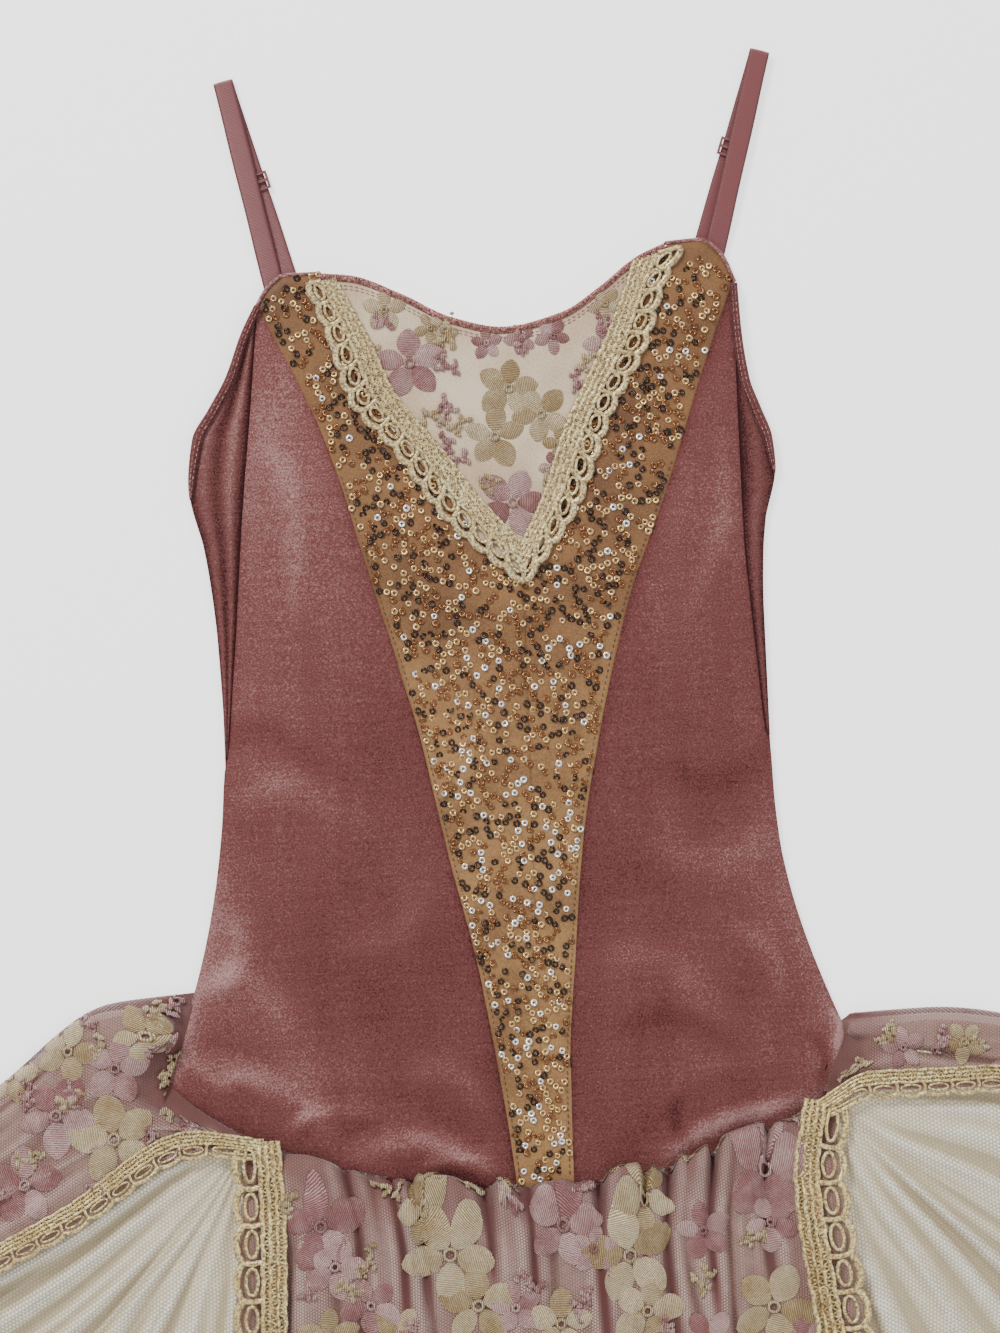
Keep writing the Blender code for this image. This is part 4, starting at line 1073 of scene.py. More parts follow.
rose_metal = thread_look("rose_metal", srgb(166, 106, 98), 0.32, 0.45)
edge = line(NECKLINE, 240, 0.0, 1.0)
path = on_front(edge - (0, PIPING_WIDTH / 2), -0.1)
points, faces = tube_arrays(path, PIPING_WIDTH / 2, 10, 0.62)
piping = mesh_object("neckline_binding", points, faces, rose_metal)
stands_for("neckline_binding")
twist = []
share = np.linspace(0, 1, 900)
for phase in (0.0, 0.5):
    turn = 2 * math.pi * (share * 105 + phase)
    wound = at(path, share)
    wound[:, 1] += PIPING_WIDTH / 2 * np.cos(turn)
    wound[:, 2] += PIPING_WIDTH * 0.34 * np.sin(turn)
    twist.append(tube_arrays(wound, 0.42, 5))
for drop in (4.6, 6.2):
    twist += stitch_arrays(on_front(edge - (0, PIPING_WIDTH + drop - 2.5), 0.0), 1.7, 1.1, 0.2)
points, faces, which = joined(twist)
mesh_object("piping_twist", points, faces, rose_metal)

# %% [markdown]
# Galloon
# The gold galloon is a metallic lace: lengthwise cords with crochet between them on its straight
# side, and on the other a row of oval eyelets under a thick scalloped cord. Its threads are tubes
# whose paths are written in cells along and a fraction across, then laid on the cloth.

# %% Galloon from cords
def galloon_parts(place, cells, cord=1.0):
    """Tubes of a galloon; place turns cells along, a fraction across and a rise into points."""
    parts = []

    def run(u, v, radius, rise=0.3, sides=5, flat=0.75):
        """One thread along the cells u and the fractions v."""
        path = place(np.asarray(u, float), np.asarray(v, float), rise)
        parts.append(tube_arrays(path, radius, sides, flat))

    fine = np.linspace(0, cells, cells * 10 + 1)
    for v, radius in ((0.03, 1.15), (0.16, 1.0), (0.29, 1.0), (0.43, 1.25)):
        knots = 1 + 0.22 * np.sin(fine * 38 + v * 90)
        run(fine, v + 0.012 * np.sin(fine * 9 + v * 40), cord * radius * knots, 0.4)
    zigzag = np.linspace(0, cells, cells * 20 + 1)
    for low, high in ((0.03, 0.16), (0.16, 0.29), (0.29, 0.43)):
        swing = np.abs(((zigzag * 5 + low * 9) % 1) - 0.5) * 2
        run(zigzag, low + (high - low) * swing, cord * 0.44, 0.55, 4)
    arch = np.abs(np.sin(math.pi * fine)) ** 0.8
    run(fine, 0.80 + 0.12 * arch, cord * 1.75 * (1 + 0.12 * np.sin(fine * 40)), 0.45, 6, 0.6)
    run(zigzag, 0.80 + 0.12 * np.abs(np.sin(math.pi * zigzag)) ** 0.8 + 0.05 * np.sin(zigzag * 44),
        cord * 0.6, 1.0, 4)
    turn = np.linspace(0, 2 * math.pi, 13)
    for cell in np.arange(cells) + 0.5:
        run(cell + 0.36 * np.cos(turn), 0.635 + 0.115 * np.sin(turn), cord * 0.85, 0.5)
    for cell in np.arange(0, cells + 1):
        run([cell - 0.02, cell + 0.03, cell], [0.44, 0.62, 0.80], cord * 1.35, 0.35)
    return parts


champagne = thread_look("champagne_thread", srgb(226, 196, 140), 0.3, 0.3, 760.0)
yellow_gold = thread_look("gold_thread", srgb(236, 204, 138), 0.3, 0.3, 760.0)
# darker copies of the thread colours for the galloons' solid bands: painted shade between the cords
shaded_champagne = thread_look("shaded_champagne", srgb(136, 108, 64), 0.5, 0.1, 760.0)
shaded_gold = thread_look("shaded_gold", srgb(158, 122, 70), 0.5, 0.1, 760.0)

NECK_CELLS = 16
neck_parts = []
neck_bands = []
for inner, outer, way in (
    (GALLOON_INNER_LEFT, GALLOON_OUTER_LEFT, 1),
    (GALLOON_INNER_RIGHT, GALLOON_OUTER_RIGHT, -1),
):
    def place(u, v, rise, inner=inner, outer=outer):
        """Mean of the inner and outer edge, weighted by the fraction across."""
        along = np.clip(np.broadcast_to(u, np.broadcast_shapes(np.shape(u), np.shape(v))) / NECK_CELLS, 0, 1)
        share = np.broadcast_to(v, along.shape)[:, None]
        flat = at(inner, along) * (1 - share) + at(outer, along) * share
        return on_front(flat, LAID_GAP + LACE * 0.5 + rise)

    neck_parts += galloon_parts(place, NECK_CELLS)
    u, v = np.meshgrid(np.linspace(0, NECK_CELLS, 120), np.linspace(0.0, 0.47, 8), indexing="ij")
    neck_bands.append(place(u.ravel(), v.ravel(), 0.05).reshape(120, 8, 3))
points, faces, which = joined(neck_parts)
galloon = mesh_object("neck_galloon_cords", points, faces, champagne)
band = shells("neck_galloon", neck_bands, 0.5, shaded_champagne)
stands_for("neck_galloon")

# %% [markdown]
# Straps
# Each strap is one length of satin-faced elastic: tucked in front, over at the shoulder and down to
# the back of the bodice. A ribbon swept along that path gives both legs and the fold between them.

# %% Straps and sliders
satin = Look("satin_elastic", roughness=0.42, sheen_weight=0.12, sheen_roughness=0.3)
across = satin.place("UV", (1000.0, 1000.0, 1.0))
ribs = satin.node("TexWave", {"wave_type": "BANDS", "bands_direction": "Y"},
                  {"Vector": across, "Scale": 0.42, "Distortion": 0.4})
edge = satin.attribute("edge")
satin.set("Base Color", satin.mix(satin.ramp(ribs * 0.5 + edge * 0.6, 0.1, 1.0), srgb(128, 70, 72),
                                  srgb(84, 38, 40)))
satin.bump(ribs, 0.4, 0.0004)


def strap_path(side):
    """Centre line, the way across and the distance: front leg, half a turn, back leg."""
    ends = ("tuck", "fold", "guide", "back")
    tuck, fold, guide, back = (np.array(STRAPS[side][key], float) for key in ends)
    up = (fold - tuck) / np.linalg.norm(fold - tuck)
    down = (guide - fold) / np.linalg.norm(guide - fold)
    front = [tuck + share * (fold - tuck) for share in (0, 0.09, 0.25, 0.6)]
    front_z = [STRAP_TUCK_HEIGHT, STRAP_TUCK_HEIGHT, STRAP_TOP_HEIGHT, STRAP_TOP_HEIGHT]
    floor = ELASTIC / 2
    radius = (STRAP_TOP_HEIGHT - floor) / 2
    turns = np.radians(np.linspace(90, -90, 7))
    bend = [fold - up * radius + up * radius * np.cos(turn) for turn in turns]
    bend_z = [floor + radius + radius * np.sin(turn) for turn in turns]
    rear = [fold - up * radius + (guide - fold) * 0.4, guide, back]
    centre = np.column_stack([front + bend + rear, front_z + bend_z + [floor] * 3])
    turned = np.concatenate([np.zeros(4), np.linspace(0, 1, 7), np.ones(3)])[:, None]
    aside = np.array([up[1], -up[0]]) * (1 - turned) + np.array([-down[1], down[0]]) * turned
    along = lengths(centre)
    places = np.concatenate([np.linspace(0, along[3], 50)[:-1], np.linspace(along[3], along[10], 40)[:-1],
                             np.linspace(along[10], along[-1], 60)])
    return between(along, centre, places), between(along, aside, places), places


def strap(side):
    """Two surfaces, each 0.45 of the elastic's thickness off its path and half that at the rims."""
    centre, aside, places = strap_path(side)
    share = np.linspace(-0.5, 0.5, 9)
    width = STRAP_WIDTH * (1 + 0.02 * np.sin(places / 9.0))
    spread = aside[:, None] * share[None, :, None] * width[:, None, None]
    grid = np.concatenate([centre[:, None, :2] + spread, np.repeat(centre[:, None, 2:], 9, axis=1)], axis=2)
    above = grid_normals(grid) * (ELASTIC * 0.45)
    soft = 1 - 0.5 * np.abs(2 * share[None, :, None]) ** 4
    rows, columns = grid.shape[:2]
    loop = np.concatenate([grid + above * soft, (grid - above * soft)[:, ::-1]], axis=1)
    loop[..., 2] = np.maximum(loop[..., 2], 0.02)
    faces = quads(rows, 2 * columns)
    join = np.arange(rows - 1) * 2 * columns
    ends = 2 * columns - 1
    closing = np.column_stack([join + ends, join, join + 2 * columns, join + 2 * columns + ends])
    rung = np.arange(columns - 1)
    cap = np.column_stack([rung, ends - rung, ends - 1 - rung, rung + 1])
    closing = np.concatenate([closing, cap, cap[:, ::-1] + (rows - 1) * 2 * columns])
    uv = np.dstack([np.broadcast_to(np.tile(share, 2) * STRAP_WIDTH, (rows, 2 * columns)),
                    np.broadcast_to(places[:, None], (rows, 2 * columns))])
    rims = np.broadcast_to(np.abs(np.concatenate([share, share[::-1]])) * 2, (rows, 2 * columns))
    made = mesh_object("strap_" + side, loop.reshape(-1, 3), np.concatenate([faces, closing]),
                       satin.material, uv=uv.reshape(-1, 2), values={"edge": (rims > 0.8).astype(float)})
    stands_for("strap_" + side)
    return made


strap("left")
strap("right")
lacquer = Look("slider_lacquer", roughness=0.28, coat_weight=0.5)
mottle = lacquer.noise(lacquer.place(), 120.0)
lacquer.set("Base Color", lacquer.mix(mottle, srgb(104, 62, 62), srgb(134, 86, 84)))
for side in STRAPS:
    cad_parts["strap_slider_" + side].material_slots[0].material = lacquer.material

# %% [markdown]
# Skirt
# The skirt is laid out as rays from the pointed hip seam to the hem. A place on it is a fraction f
# round the skirt and a reach r down it; gathers are waves in f that open with the distance from the
# seam. Each layer of net is one bare sheet over its solid's form, with finer gathers added.

# %% Form of the skirt
RAY_KNOTS = np.array([ray[0] for ray in RAYS.values()])
HEMS = np.array([ray[-1] for ray in RAYS.values()], float)
RAY_PLACES = lengths(HEMS) / lengths(HEMS)[-1]
EDGES = dict(zip(RAYS, RAY_PLACES))
FIRM_EDGES = [EDGES[name] for name in ("left opening", "left front", "right front", "right opening")]
SPOTS = np.arange(len(SKIRT_LINE))
STARTS = between(SPOTS, SKIRT_LINE, RAY_KNOTS)
RAY_TABLE = np.array([[start, *ray[1:]] for start, ray in zip(STARTS, RAYS.values())], float)


def fan(f, r):
    """Place in plan: the start on the skirt's line plus the blend of the neighbouring rays."""
    shape = f.shape
    f, r = f.ravel(), np.broadcast_to(r, shape).ravel()
    knots = between(RAY_PLACES, RAY_KNOTS[:, None], f)[:, 0]
    seam = between(SPOTS, SKIRT_LINE, knots)
    offsets = between(RAY_PLACES, RAY_TABLE - RAY_TABLE[:, :1], f)
    stops = np.array((0.0, *STATIONS))
    steep = np.empty_like(offsets)
    secants = np.diff(offsets, axis=1) / np.diff(stops)[None, :, None]
    products = secants[:, :-1] * secants[:, 1:]
    sums = np.where(products > 0, secants[:, :-1] + secants[:, 1:], 1.0)
    steep[:, 1:-1] = np.where(products > 0, 2 * products / sums, 0.0)
    steep[:, 0], steep[:, -1] = secants[:, 0], secants[:, -1]
    r = np.clip(r, 0, 1)
    left = np.clip(np.searchsorted(stops, r, side="right") - 1, 0, len(stops) - 2)
    row = np.arange(len(r))
    span = (stops[left + 1] - stops[left])[:, None]
    t = (r - stops[left])[:, None] / span
    near = (1 + 2 * t) * (1 - t) ** 2 * offsets[row, left] + t * (1 - t) ** 2 * span * steep[row, left]
    far = t**2 * (3 - 2 * t) * offsets[row, left + 1] - t**2 * (1 - t) * span * steep[row, left + 1]
    return (seam + near + far).reshape(shape + (2,))


def inside(f, r):
    """Distance in plan to the nearer side fold at the same reach."""
    flat = fan(f, r)
    left, right = fan(np.zeros_like(f), r), fan(np.ones_like(f), r)
    return np.minimum(np.linalg.norm(flat - left, axis=-1), np.linalg.norm(flat - right, axis=-1))


def lift(f, r):
    """1 less the cube of the rest of the reach, and 0 at the side folds."""
    return (1 - (1 - np.clip(r, 0, 1)) ** 3) * smoothstep(inside(f, r), 0, OPENING_WIDTH)


def scale_of(f, r):
    """Millimetres of plan for each unit of f."""
    return np.linalg.norm(fan(f + 0.002, r) - fan(f - 0.002, r), axis=-1) / 0.004


def gathers(f, r, waves, height, phase, firm_edges=()):
    """A cosine of f, as high as the layer opens and no steeper than the steepest wave."""
    opened = height * lift(f, r)
    scale = scale_of(f, r)
    size = np.minimum(opened, STEEPEST_WAVE * scale / waves)
    swing = -0.5 * np.cos(2 * np.pi * (waves * f + phase))
    for edge in firm_edges:
        swing = swing * smoothstep(np.abs(f - edge) * scale, 22, 42)
    return 0.5 * opened + size * swing


def back_height(f, r, order):
    """A back layer: its place in the stack plus its waves."""
    return order * LAYER_STEP + gathers(f, r, BACK_WAVES, BACK_WAVE, 0.0)


def front_layer_height(f, r, order, base, waves, height, phase, firm_edges=()):
    """A quarter ellipse from the side fold up to its place in the stack, plus base and waves."""
    reach = inside(f, r) - LAYER_INSET * (5 - order)
    depth = np.clip(reach, 0, FOLD_ROUNDING) / FOLD_ROUNDING
    fold = (6 - order) * LAYER_STEP
    stacked = fold + (order * LAYER_STEP - fold) * np.sqrt(1 - (1 - depth) ** 2)
    return stacked + lift(f, r) * base + gathers(f, r, waves, height, phase, firm_edges)


def over_height(f, r):
    """Overskirt: above the waves of the back and of both plain layers."""
    base = BACK_WAVE + UNDER_WAVE + TOP_WAVE
    return front_layer_height(f, r, 5, base, OVER_WAVES, OVER_WAVE, OVER_PHASE, FIRM_EDGES)


def top_height(f, r):
    """Upper plain layer: above the waves of the back and of the lower plain layer."""
    return front_layer_height(f, r, 4, BACK_WAVE + UNDER_WAVE, TOP_WAVES, TOP_WAVE, 0.2)


def under_height(f, r):
    """Lower plain layer: above the waves of the back."""
    return front_layer_height(f, r, 3, BACK_WAVE, UNDER_WAVES, UNDER_WAVE, 0.0)


crest = over_height(np.array([[0.5]]), np.array([[0.6]]))[0, 0]
print("overskirt crest in the middle, mm:", round(float(crest), 1))

# %% [markdown]
# Net
# Soft net is a web of hexagons. Three waves at 120 degrees add up to such a web: their sum is high
# in the middle of each hole and low on the threads, so one threshold cuts the holes, and the sheet
# stays a single surface. The web lies in the UV map, in millimetres of the laid cloth.

# %% Net finish
def net_look(name, pitch, valley, middle, ridge, hole_alpha, thread_alpha, tint=None):
    """Three cosine waves add up to the web; the fold value mixes painted shade in the valleys, the middle
    colour and painted light on the ridges.
    """
    look = Look(name, roughness=0.85, sheen_weight=0.35, sheen_roughness=0.5, specular_ior_level=0.15)
    spot = look.place("UV", (1000.0, 1000.0, 1.0))
    bend = look.noise(spot, 0.12, 2.0)
    web = None
    for angle in (0.0, 120.0, 240.0):
        aim = (math.cos(math.radians(angle)), math.sin(math.radians(angle)), 0.0)
        along = look.node("VectorMath", {"operation": "DOT_PRODUCT"}, {0: spot, 1: aim}, "Value")
        wave = look.math("COSINE", along * (4 * math.pi / math.sqrt(3) / pitch) + bend * 2.5)
        web = wave if web is None else web + wave
    thread = 1.0 - look.ramp(web, -0.35, 0.75)
    fold = look.attribute("fold")
    grain = look.noise(look.place(), 16.0, 3.0)
    tone = fold + (grain - 0.5) * 0.35
    # painted shade in the folds' valleys, painted light on their ridges
    cloth = look.mix(look.ramp(tone, 0.5, 1.0), look.mix(look.ramp(tone, 0.0, 0.5), valley, middle), ridge)
    # holes painted in the valley colour, as shade
    cloth = look.mix(thread * 0.6 + 0.4, valley, cloth)
    # painted shade near the seam and in the gathers: the tint colour, and denser net
    look.set("Base Color", cloth if tint is None else look.mix(look.attribute("deep_shade"), cloth, tint))
    look.set("Alpha", hole_alpha + thread * (thread_alpha - hole_alpha) + look.attribute("deep_shade") * 0.7)
    look.bump(thread, 0.4, 0.0003)
    return look.material


cream_net = net_look("cream_net", 2.0, srgb(200, 184, 152), srgb(244, 232, 206), srgb(255, 250, 232),
                     0.72, 0.97)
mauve_net = net_look("mauve_net", 1.5, srgb(112, 76, 72), srgb(168, 132, 124), srgb(200, 170, 160),
                     0.55, 0.97, srgb(98, 56, 54))
print("net finishes:", cream_net.name, mauve_net.name)

# %% [markdown]
# Layers
# Two layers of plain net and the split overskirt lie over each other. Besides the waves of the
# solids, fine folds fan out from the seam; each has its own place, width, height and slant, uneven
# as hands leave them, and they are flat where another layer lies on them.

# %% Layers of net
def fine_folds(f, r, count, height, seed, spread=1.0, signs=(1, 1, -0.7)):
    """Sum of ridges along the rays: each a bell across f that slants and fades along r."""
    draw = np.random.default_rng(seed)
    total = np.zeros(np.broadcast_shapes(f.shape, r.shape))
    places = (np.arange(count) + draw.uniform(0.1, 0.9, count)) / count
    scale = scale_of(f, r)
    for place in places:
        half = draw.uniform(1.6, 4.2) * spread
        slant = draw.normal(0, 0.012)
        tall = height * draw.uniform(0.35, 1.0) * draw.choice(signs)
        start, stop = draw.uniform(0, 0.35), draw.uniform(0.55, 1.3)
        middle = place + slant * r + 0.004 * np.sin(r * draw.uniform(4, 9) + place * 40)
        along = smoothstep(r, start - 0.15, start + 0.12) * (1 - smoothstep(r, stop - 0.2, stop + 0.2))
        total += tall * along * np.exp(-((f - middle) * scale / half) ** 2)
    return total


TUCK = 0.045
PUFFS = 40
SEAM_X = fan(np.linspace(0, 1, 400)[:, None], np.zeros((400, 1)))[:, 0]
WIDE_PUFFS = [
    # x along the hip seam, half width and how far the net stands over the velvet, in millimetres
    (96, 30, 17), (-150, 14, 13), (42, 16, 14), (-52, 18, 13), (-112, 16, 11), (4, 12, 10),
]
GATHERS = [
    # x along the hip seam, half width, depth in millimetres, and reach down the skirt
    (27, 2.2, 4.2, 0.62), (-76, 1.8, 3.8, 0.30), (-66, 1.6, 4.0, 0.24), (62, 1.6, 4.0, 0.35),
    (-30, 1.5, 3.5, 0.20), (-98, 1.6, 4.0, 0.40), (-8, 1.5, 3.5, 0.26), (84, 1.8, 3.2, 0.35),
    (112, 1.6, 4.0, 0.30), (-160, 2.0, 3.2, 0.30), (-172, 2.0, 3.2, 0.40), (50, 1.4, 3.0, 0.18),
]
SEAM_POINTS = np.concatenate([EDGE_LEFT[:26], line(HIP_SEAM, 120), EDGE_RIGHT[:14]])


def seam_puff(f, r):
    """Millimetres by which the gathered net stands over the velvet's edge: uneven bells round the seam."""
    draw = np.random.default_rng(61)
    total = 0 * (f + r)
    scale = scale_of(f, 0 * r)
    for place in (np.arange(PUFFS) + draw.uniform(0.1, 0.9, PUFFS)) / PUFFS:
        tall, half = draw.uniform(3, 14), draw.uniform(3, 8)
        total = np.maximum(total, tall * np.exp(-np.abs((f - place) * scale / half) ** 3))
    for x, half, tall in WIDE_PUFFS:
        place = place_of(x)
        total = np.maximum(total, tall * np.exp(-np.abs((f - place) * scale / half) ** 3))
    for x, half, depth, reach in GATHERS:
        total = total * (1 - 0.8 * np.exp(-(((f - place_of(x)) * scale / half / 1.3) ** 2)))
    for edge in FIRM_EDGES:
        total = total * smoothstep(np.abs(f - edge) * scale, 4, 12)
    return total * np.exp(-((r - 0.018) / 0.024) ** 2)


def place_of(x):
    """Fraction round the skirt whose seam point has this x."""
    return float(np.interp(x, SEAM_X[40:-20, 0], np.linspace(0, 1, 400)[40:-20]))


def seam_gathers(f, r):
    """Narrow troughs where the net is drawn in at the seam, and a share from 0 to 1 for their shadow."""
    scale = scale_of(f, r)
    total, shadow = 0 * (f + r), 0 * (f + r)
    for x, half, depth, reach in GATHERS:
        bell = np.exp(-(((f - place_of(x) - 0.006 * r) * scale / (half * (1 + 2 * r))) ** 2))
        bell = bell * (1 - smoothstep(r, reach * 0.5, reach))
        total -= depth * bell
        shadow = np.maximum(shadow, bell)
    return total, shadow


def outward_of(f):
    """Unit way in plan from the seam to the hem."""
    way = fan(f, 0 * f + 0.12) - fan(f, 0 * f)
    return way / np.linalg.norm(way, axis=-1, keepdims=True)


def open_ground(f):
    """1 where the front's plain net shows between the overskirt's panels, 0 under them."""
    total = 0 * f
    for first, last in (("left opening", "left front"), ("right front", "right opening")):
        total += smoothstep(f, EDGES[first] - 0.005, EDGES[first] + 0.02) * (
            1 - smoothstep(f, EDGES[last] - 0.02, EDGES[last] + 0.005))
    return total


def net_layer(name, f, r, height, extra, finish, fold_gain=1.0, deep_shade=None, puff=0.0, order=0):
    """Sheet at the middle of its solid's wall, with extra folds, and a value for their painted shading."""
    z = height + NET * 0.6 + extra
    tuck = smoothstep(-r, -0.035, TUCK)
    outward = outward_of(f + 0 * r)
    start = fan(f[:1], 0 * f[:1])[0]
    reach = SEAM_POINTS[None] - start[:, None]
    nearest = np.linalg.norm(reach, axis=2).argmin(axis=1)
    inward = reach[np.arange(len(start)), nearest] - 1.5 * outward[0]
    inward += inward / np.linalg.norm(inward, axis=1, keepdims=True) * 4.0
    flat = fan(f, np.maximum(r, 0)) - inward[None] * (np.minimum(r, 0) / TUCK)[..., None]
    z = z * (1 - tuck) + (front_height(flat[..., 0], flat[..., 1]) - 2.0 + 1.4 * order) * tuck
    z = z + 0.35 * puff
    flat = flat - outward * np.broadcast_to(puff, z.shape)[..., None]
    grid = np.dstack([flat, z])
    smooth = z - (np.roll(z, 6, axis=1) + np.roll(z, -6, axis=1)) / 2
    # painted light on crests, painted shade in troughs and where the net tucks under the velvet
    fold = np.clip(0.5 + fold_gain * smooth * 0.22 - 0.4 * tuck, 0, 1)
    uv = flat + 1.5 * np.dstack([np.sin(flat[..., 1] / 23), np.cos(flat[..., 0] / 19)])
    values = {"fold": fold}
    if deep_shade is not None:
        values["deep_shade"] = deep_shade
    made = open_sheet(name, grid, finish, uv, values)
    stands_for(name)
    return made


def whole_grid(columns, rows, order, reach=1.0, front=True):
    """Columns evenly round the front or the back of a layer, with its inset from the side folds."""
    start = np.linspace(-TUCK, 0, 7)[:-1] if front else []
    r = np.concatenate([start, np.linspace(0, 1, rows) ** 1.15 * reach])[:, None]
    left = np.linalg.norm(fan(np.full_like(r, 0.01), r) - fan(0 * r, r), axis=-1) / 0.01
    right = np.linalg.norm(fan(np.ones_like(r), r) - fan(np.full_like(r, 0.99), r), axis=-1) / 0.01
    first, last = order * LAYER_INSET / left, 1 - order * LAYER_INSET / right
    return first + (last - first) * np.linspace(0, 1, columns)[None, :], r


for order, (name, finish, slot) in enumerate((
    ("overskirt_back", mauve_net, "embroidered_net"),
    ("tulle_top_back", cream_net, "cream_net"),
    ("tulle_under_back", cream_net, "cream_net"),
)):
    f, r = whole_grid(200, 40, order, 1.0 if order else OVERSKIRT_REACH, False)
    height = back_height(f, r, order)
    extra = fine_folds(f, r, 40, 0.25, 20 + order) * lift(f, r)
    net_layer(name, f, r, height, extra, finish, 2.0, 0 * f if order == 0 else None)

f, r = whole_grid(300, 44, 2)
extra = 0.3 * fine_folds(f, r, 60, 0.9, 31) + 0.7 * seam_gathers(f, r)[0] * (1 - open_ground(f))
net_layer("tulle_under_front", f, r, under_height(f, r), extra, cream_net)
f, r = whole_grid(640, 90, 1)
extra = fine_folds(f, r, 110, 3.4, 32) * open_ground(f) * (0.25 + 0.75 * smoothstep(r, 0, 0.3))
extra = extra + (1.1 * seam_gathers(f, r)[0] - 1.0 * lift(f, r)) * (1 - open_ground(f))
net_layer("tulle_top_front", f, r, top_height(f, r), extra, cream_net, order=1)


def part_grid(columns, rows, first, last, first_grows, last_grows):
    """Columns between two rays, each moved out by some millimetres to lie under its galloon's eyelets."""
    down = np.linspace(0, 1, rows) ** 1.2 * OVERSKIRT_REACH
    r = np.concatenate([np.linspace(-TUCK, 0, 9)[:-1], down])[:, None]
    start, stop = np.full_like(r, EDGES[first]), np.full_like(r, EDGES[last])
    start = start - first_grows / scale_of(start, r)
    stop = stop + last_grows / scale_of(stop, r)
    return start + (stop - start) * np.linspace(0, 1, columns)[None, :], r


def over_extra(f, r):
    """Fine gathers of the overskirt, level under its galloons, and a puff below the seam."""
    scale = scale_of(f, r)
    level = 1.0
    for edge in FIRM_EDGES:
        level = level * smoothstep(np.abs(f - edge) * scale, 14, 26)
    tight = fine_folds(f, r, 90, 3.0, 41, 0.9, (0.8, -1, -0.8)) * (0.35 + 0.65 * smoothstep(r, 0.0, 0.08))
    lumps = 0.6 + 0.4 * np.sin(f * 150) * np.sin(f * 61 + 1)
    puff = 5.0 * lumps * np.exp(-((r - 0.06) / 0.045) ** 2)
    return level * (tight + puff * smoothstep(inside(f, r), 4, 30) + seam_gathers(f, r)[0])


for name, columns, *edges in (
    ("overskirt_left", 160, "left fold", "left opening", 0.0, 4.5),
    ("overskirt_front", 420, "left front", "right front", 8.5, 6.0),
    ("overskirt_right", 110, "right opening", "right fold", 3.0, 0.0),
):
    f, r = part_grid(columns, 110, *edges)
    # painted shade below the seam and in the gathers' troughs
    deep_shade = np.maximum((1 - smoothstep(r, 0.0, 0.10)) * 0.6, 0.9 * seam_gathers(f, r)[1])
    net_layer(name, f, r, over_height(f, r), over_extra(f, r), mauve_net, 1.0, deep_shade,
              seam_puff(f, r), 2)

# %% Flowers and galloons of the overskirt
def to_fan(points, f, r):
    """Newton steps from a guess: the f and r whose place in plan is the point."""
    for _ in range(8):
        here = fan(f[:, None], r[:, None])[:, 0]
        aside = (fan(f[:, None] + 0.002, r[:, None])[:, 0] - here) / 0.002
        ahead = (fan(f[:, None], np.minimum(r[:, None] + 0.004, 1.0))[:, 0]
                 - fan(f[:, None], np.minimum(r[:, None] + 0.004, 1.0) - 0.008)[:, 0]) / 0.008
        miss = points - here
        area = aside[:, 0] * ahead[:, 1] - aside[:, 1] * ahead[:, 0]
        area = np.where(np.abs(area) < 1e-3, 1e-3, area)
        f_step = (miss[:, 0] * ahead[:, 1] - miss[:, 1] * ahead[:, 0]) / area
        r_step = (aside[:, 0] * miss[:, 1] - aside[:, 1] * miss[:, 0]) / area
        f = np.clip(f + np.clip(f_step, -0.05, 0.05), 0, 1)
        r = np.clip(r + np.clip(r_step, -0.1, 0.1), 0.004, 0.99)
    return f, r


COARSE_GRIDS = np.meshgrid(np.linspace(0, 1, 90), np.linspace(0.01, 0.94, 40))
COARSE_F, COARSE_R = (coarse.ravel() for coarse in COARSE_GRIDS)
COARSE = fan(COARSE_F[:, None], COARSE_R[:, None])[:, 0]


def on_skirt(points, centres):
    """Plan points lifted to the top of the overskirt, from the nearest coarse place to each flower."""
    unique, which = np.unique(np.round(centres, 3), axis=0, return_inverse=True)
    nearest = np.array([np.linalg.norm(COARSE - centre, axis=1).argmin() for centre in unique])[which.ravel()]
    f, r = to_fan(points[:, :2], COARSE_F[nearest], COARSE_R[nearest])
    z = over_height(f[:, None], r[:, None])[:, 0] + over_extra(f[:, None], r[:, None])[:, 0]
    puff = seam_puff(f[:, None], r[:, None])
    flat = fan(f[:, None], r[:, None])[:, 0]
    miss = points[:, :2] - flat
    past = np.linalg.norm(miss, axis=1)
    hip = 1 - smoothstep(np.minimum(f, 1 - f), 0.02, 0.05)
    allowed = np.where((f < 1e-3) | (f > 1 - 1e-3), 0.0, 1.5 + 10.0 * hip)
    kept = np.minimum(1.0, allowed / np.maximum(past, 1e-6))[:, None]
    flat = flat + miss * kept - (outward_of(f[:, None]) * puff[..., None])[:, 0]
    past = past * kept[:, 0]
    z = z + 0.35 * puff[:, 0] + NET * 0.6 + 0.25
    low = front_height(flat[:, 0], flat[:, 1]) + VELVET + 0.6
    z = z + (np.minimum(low, z) - z) * smoothstep(past, 0.5, 9)
    return np.column_stack([flat, z + points[:, 2]])


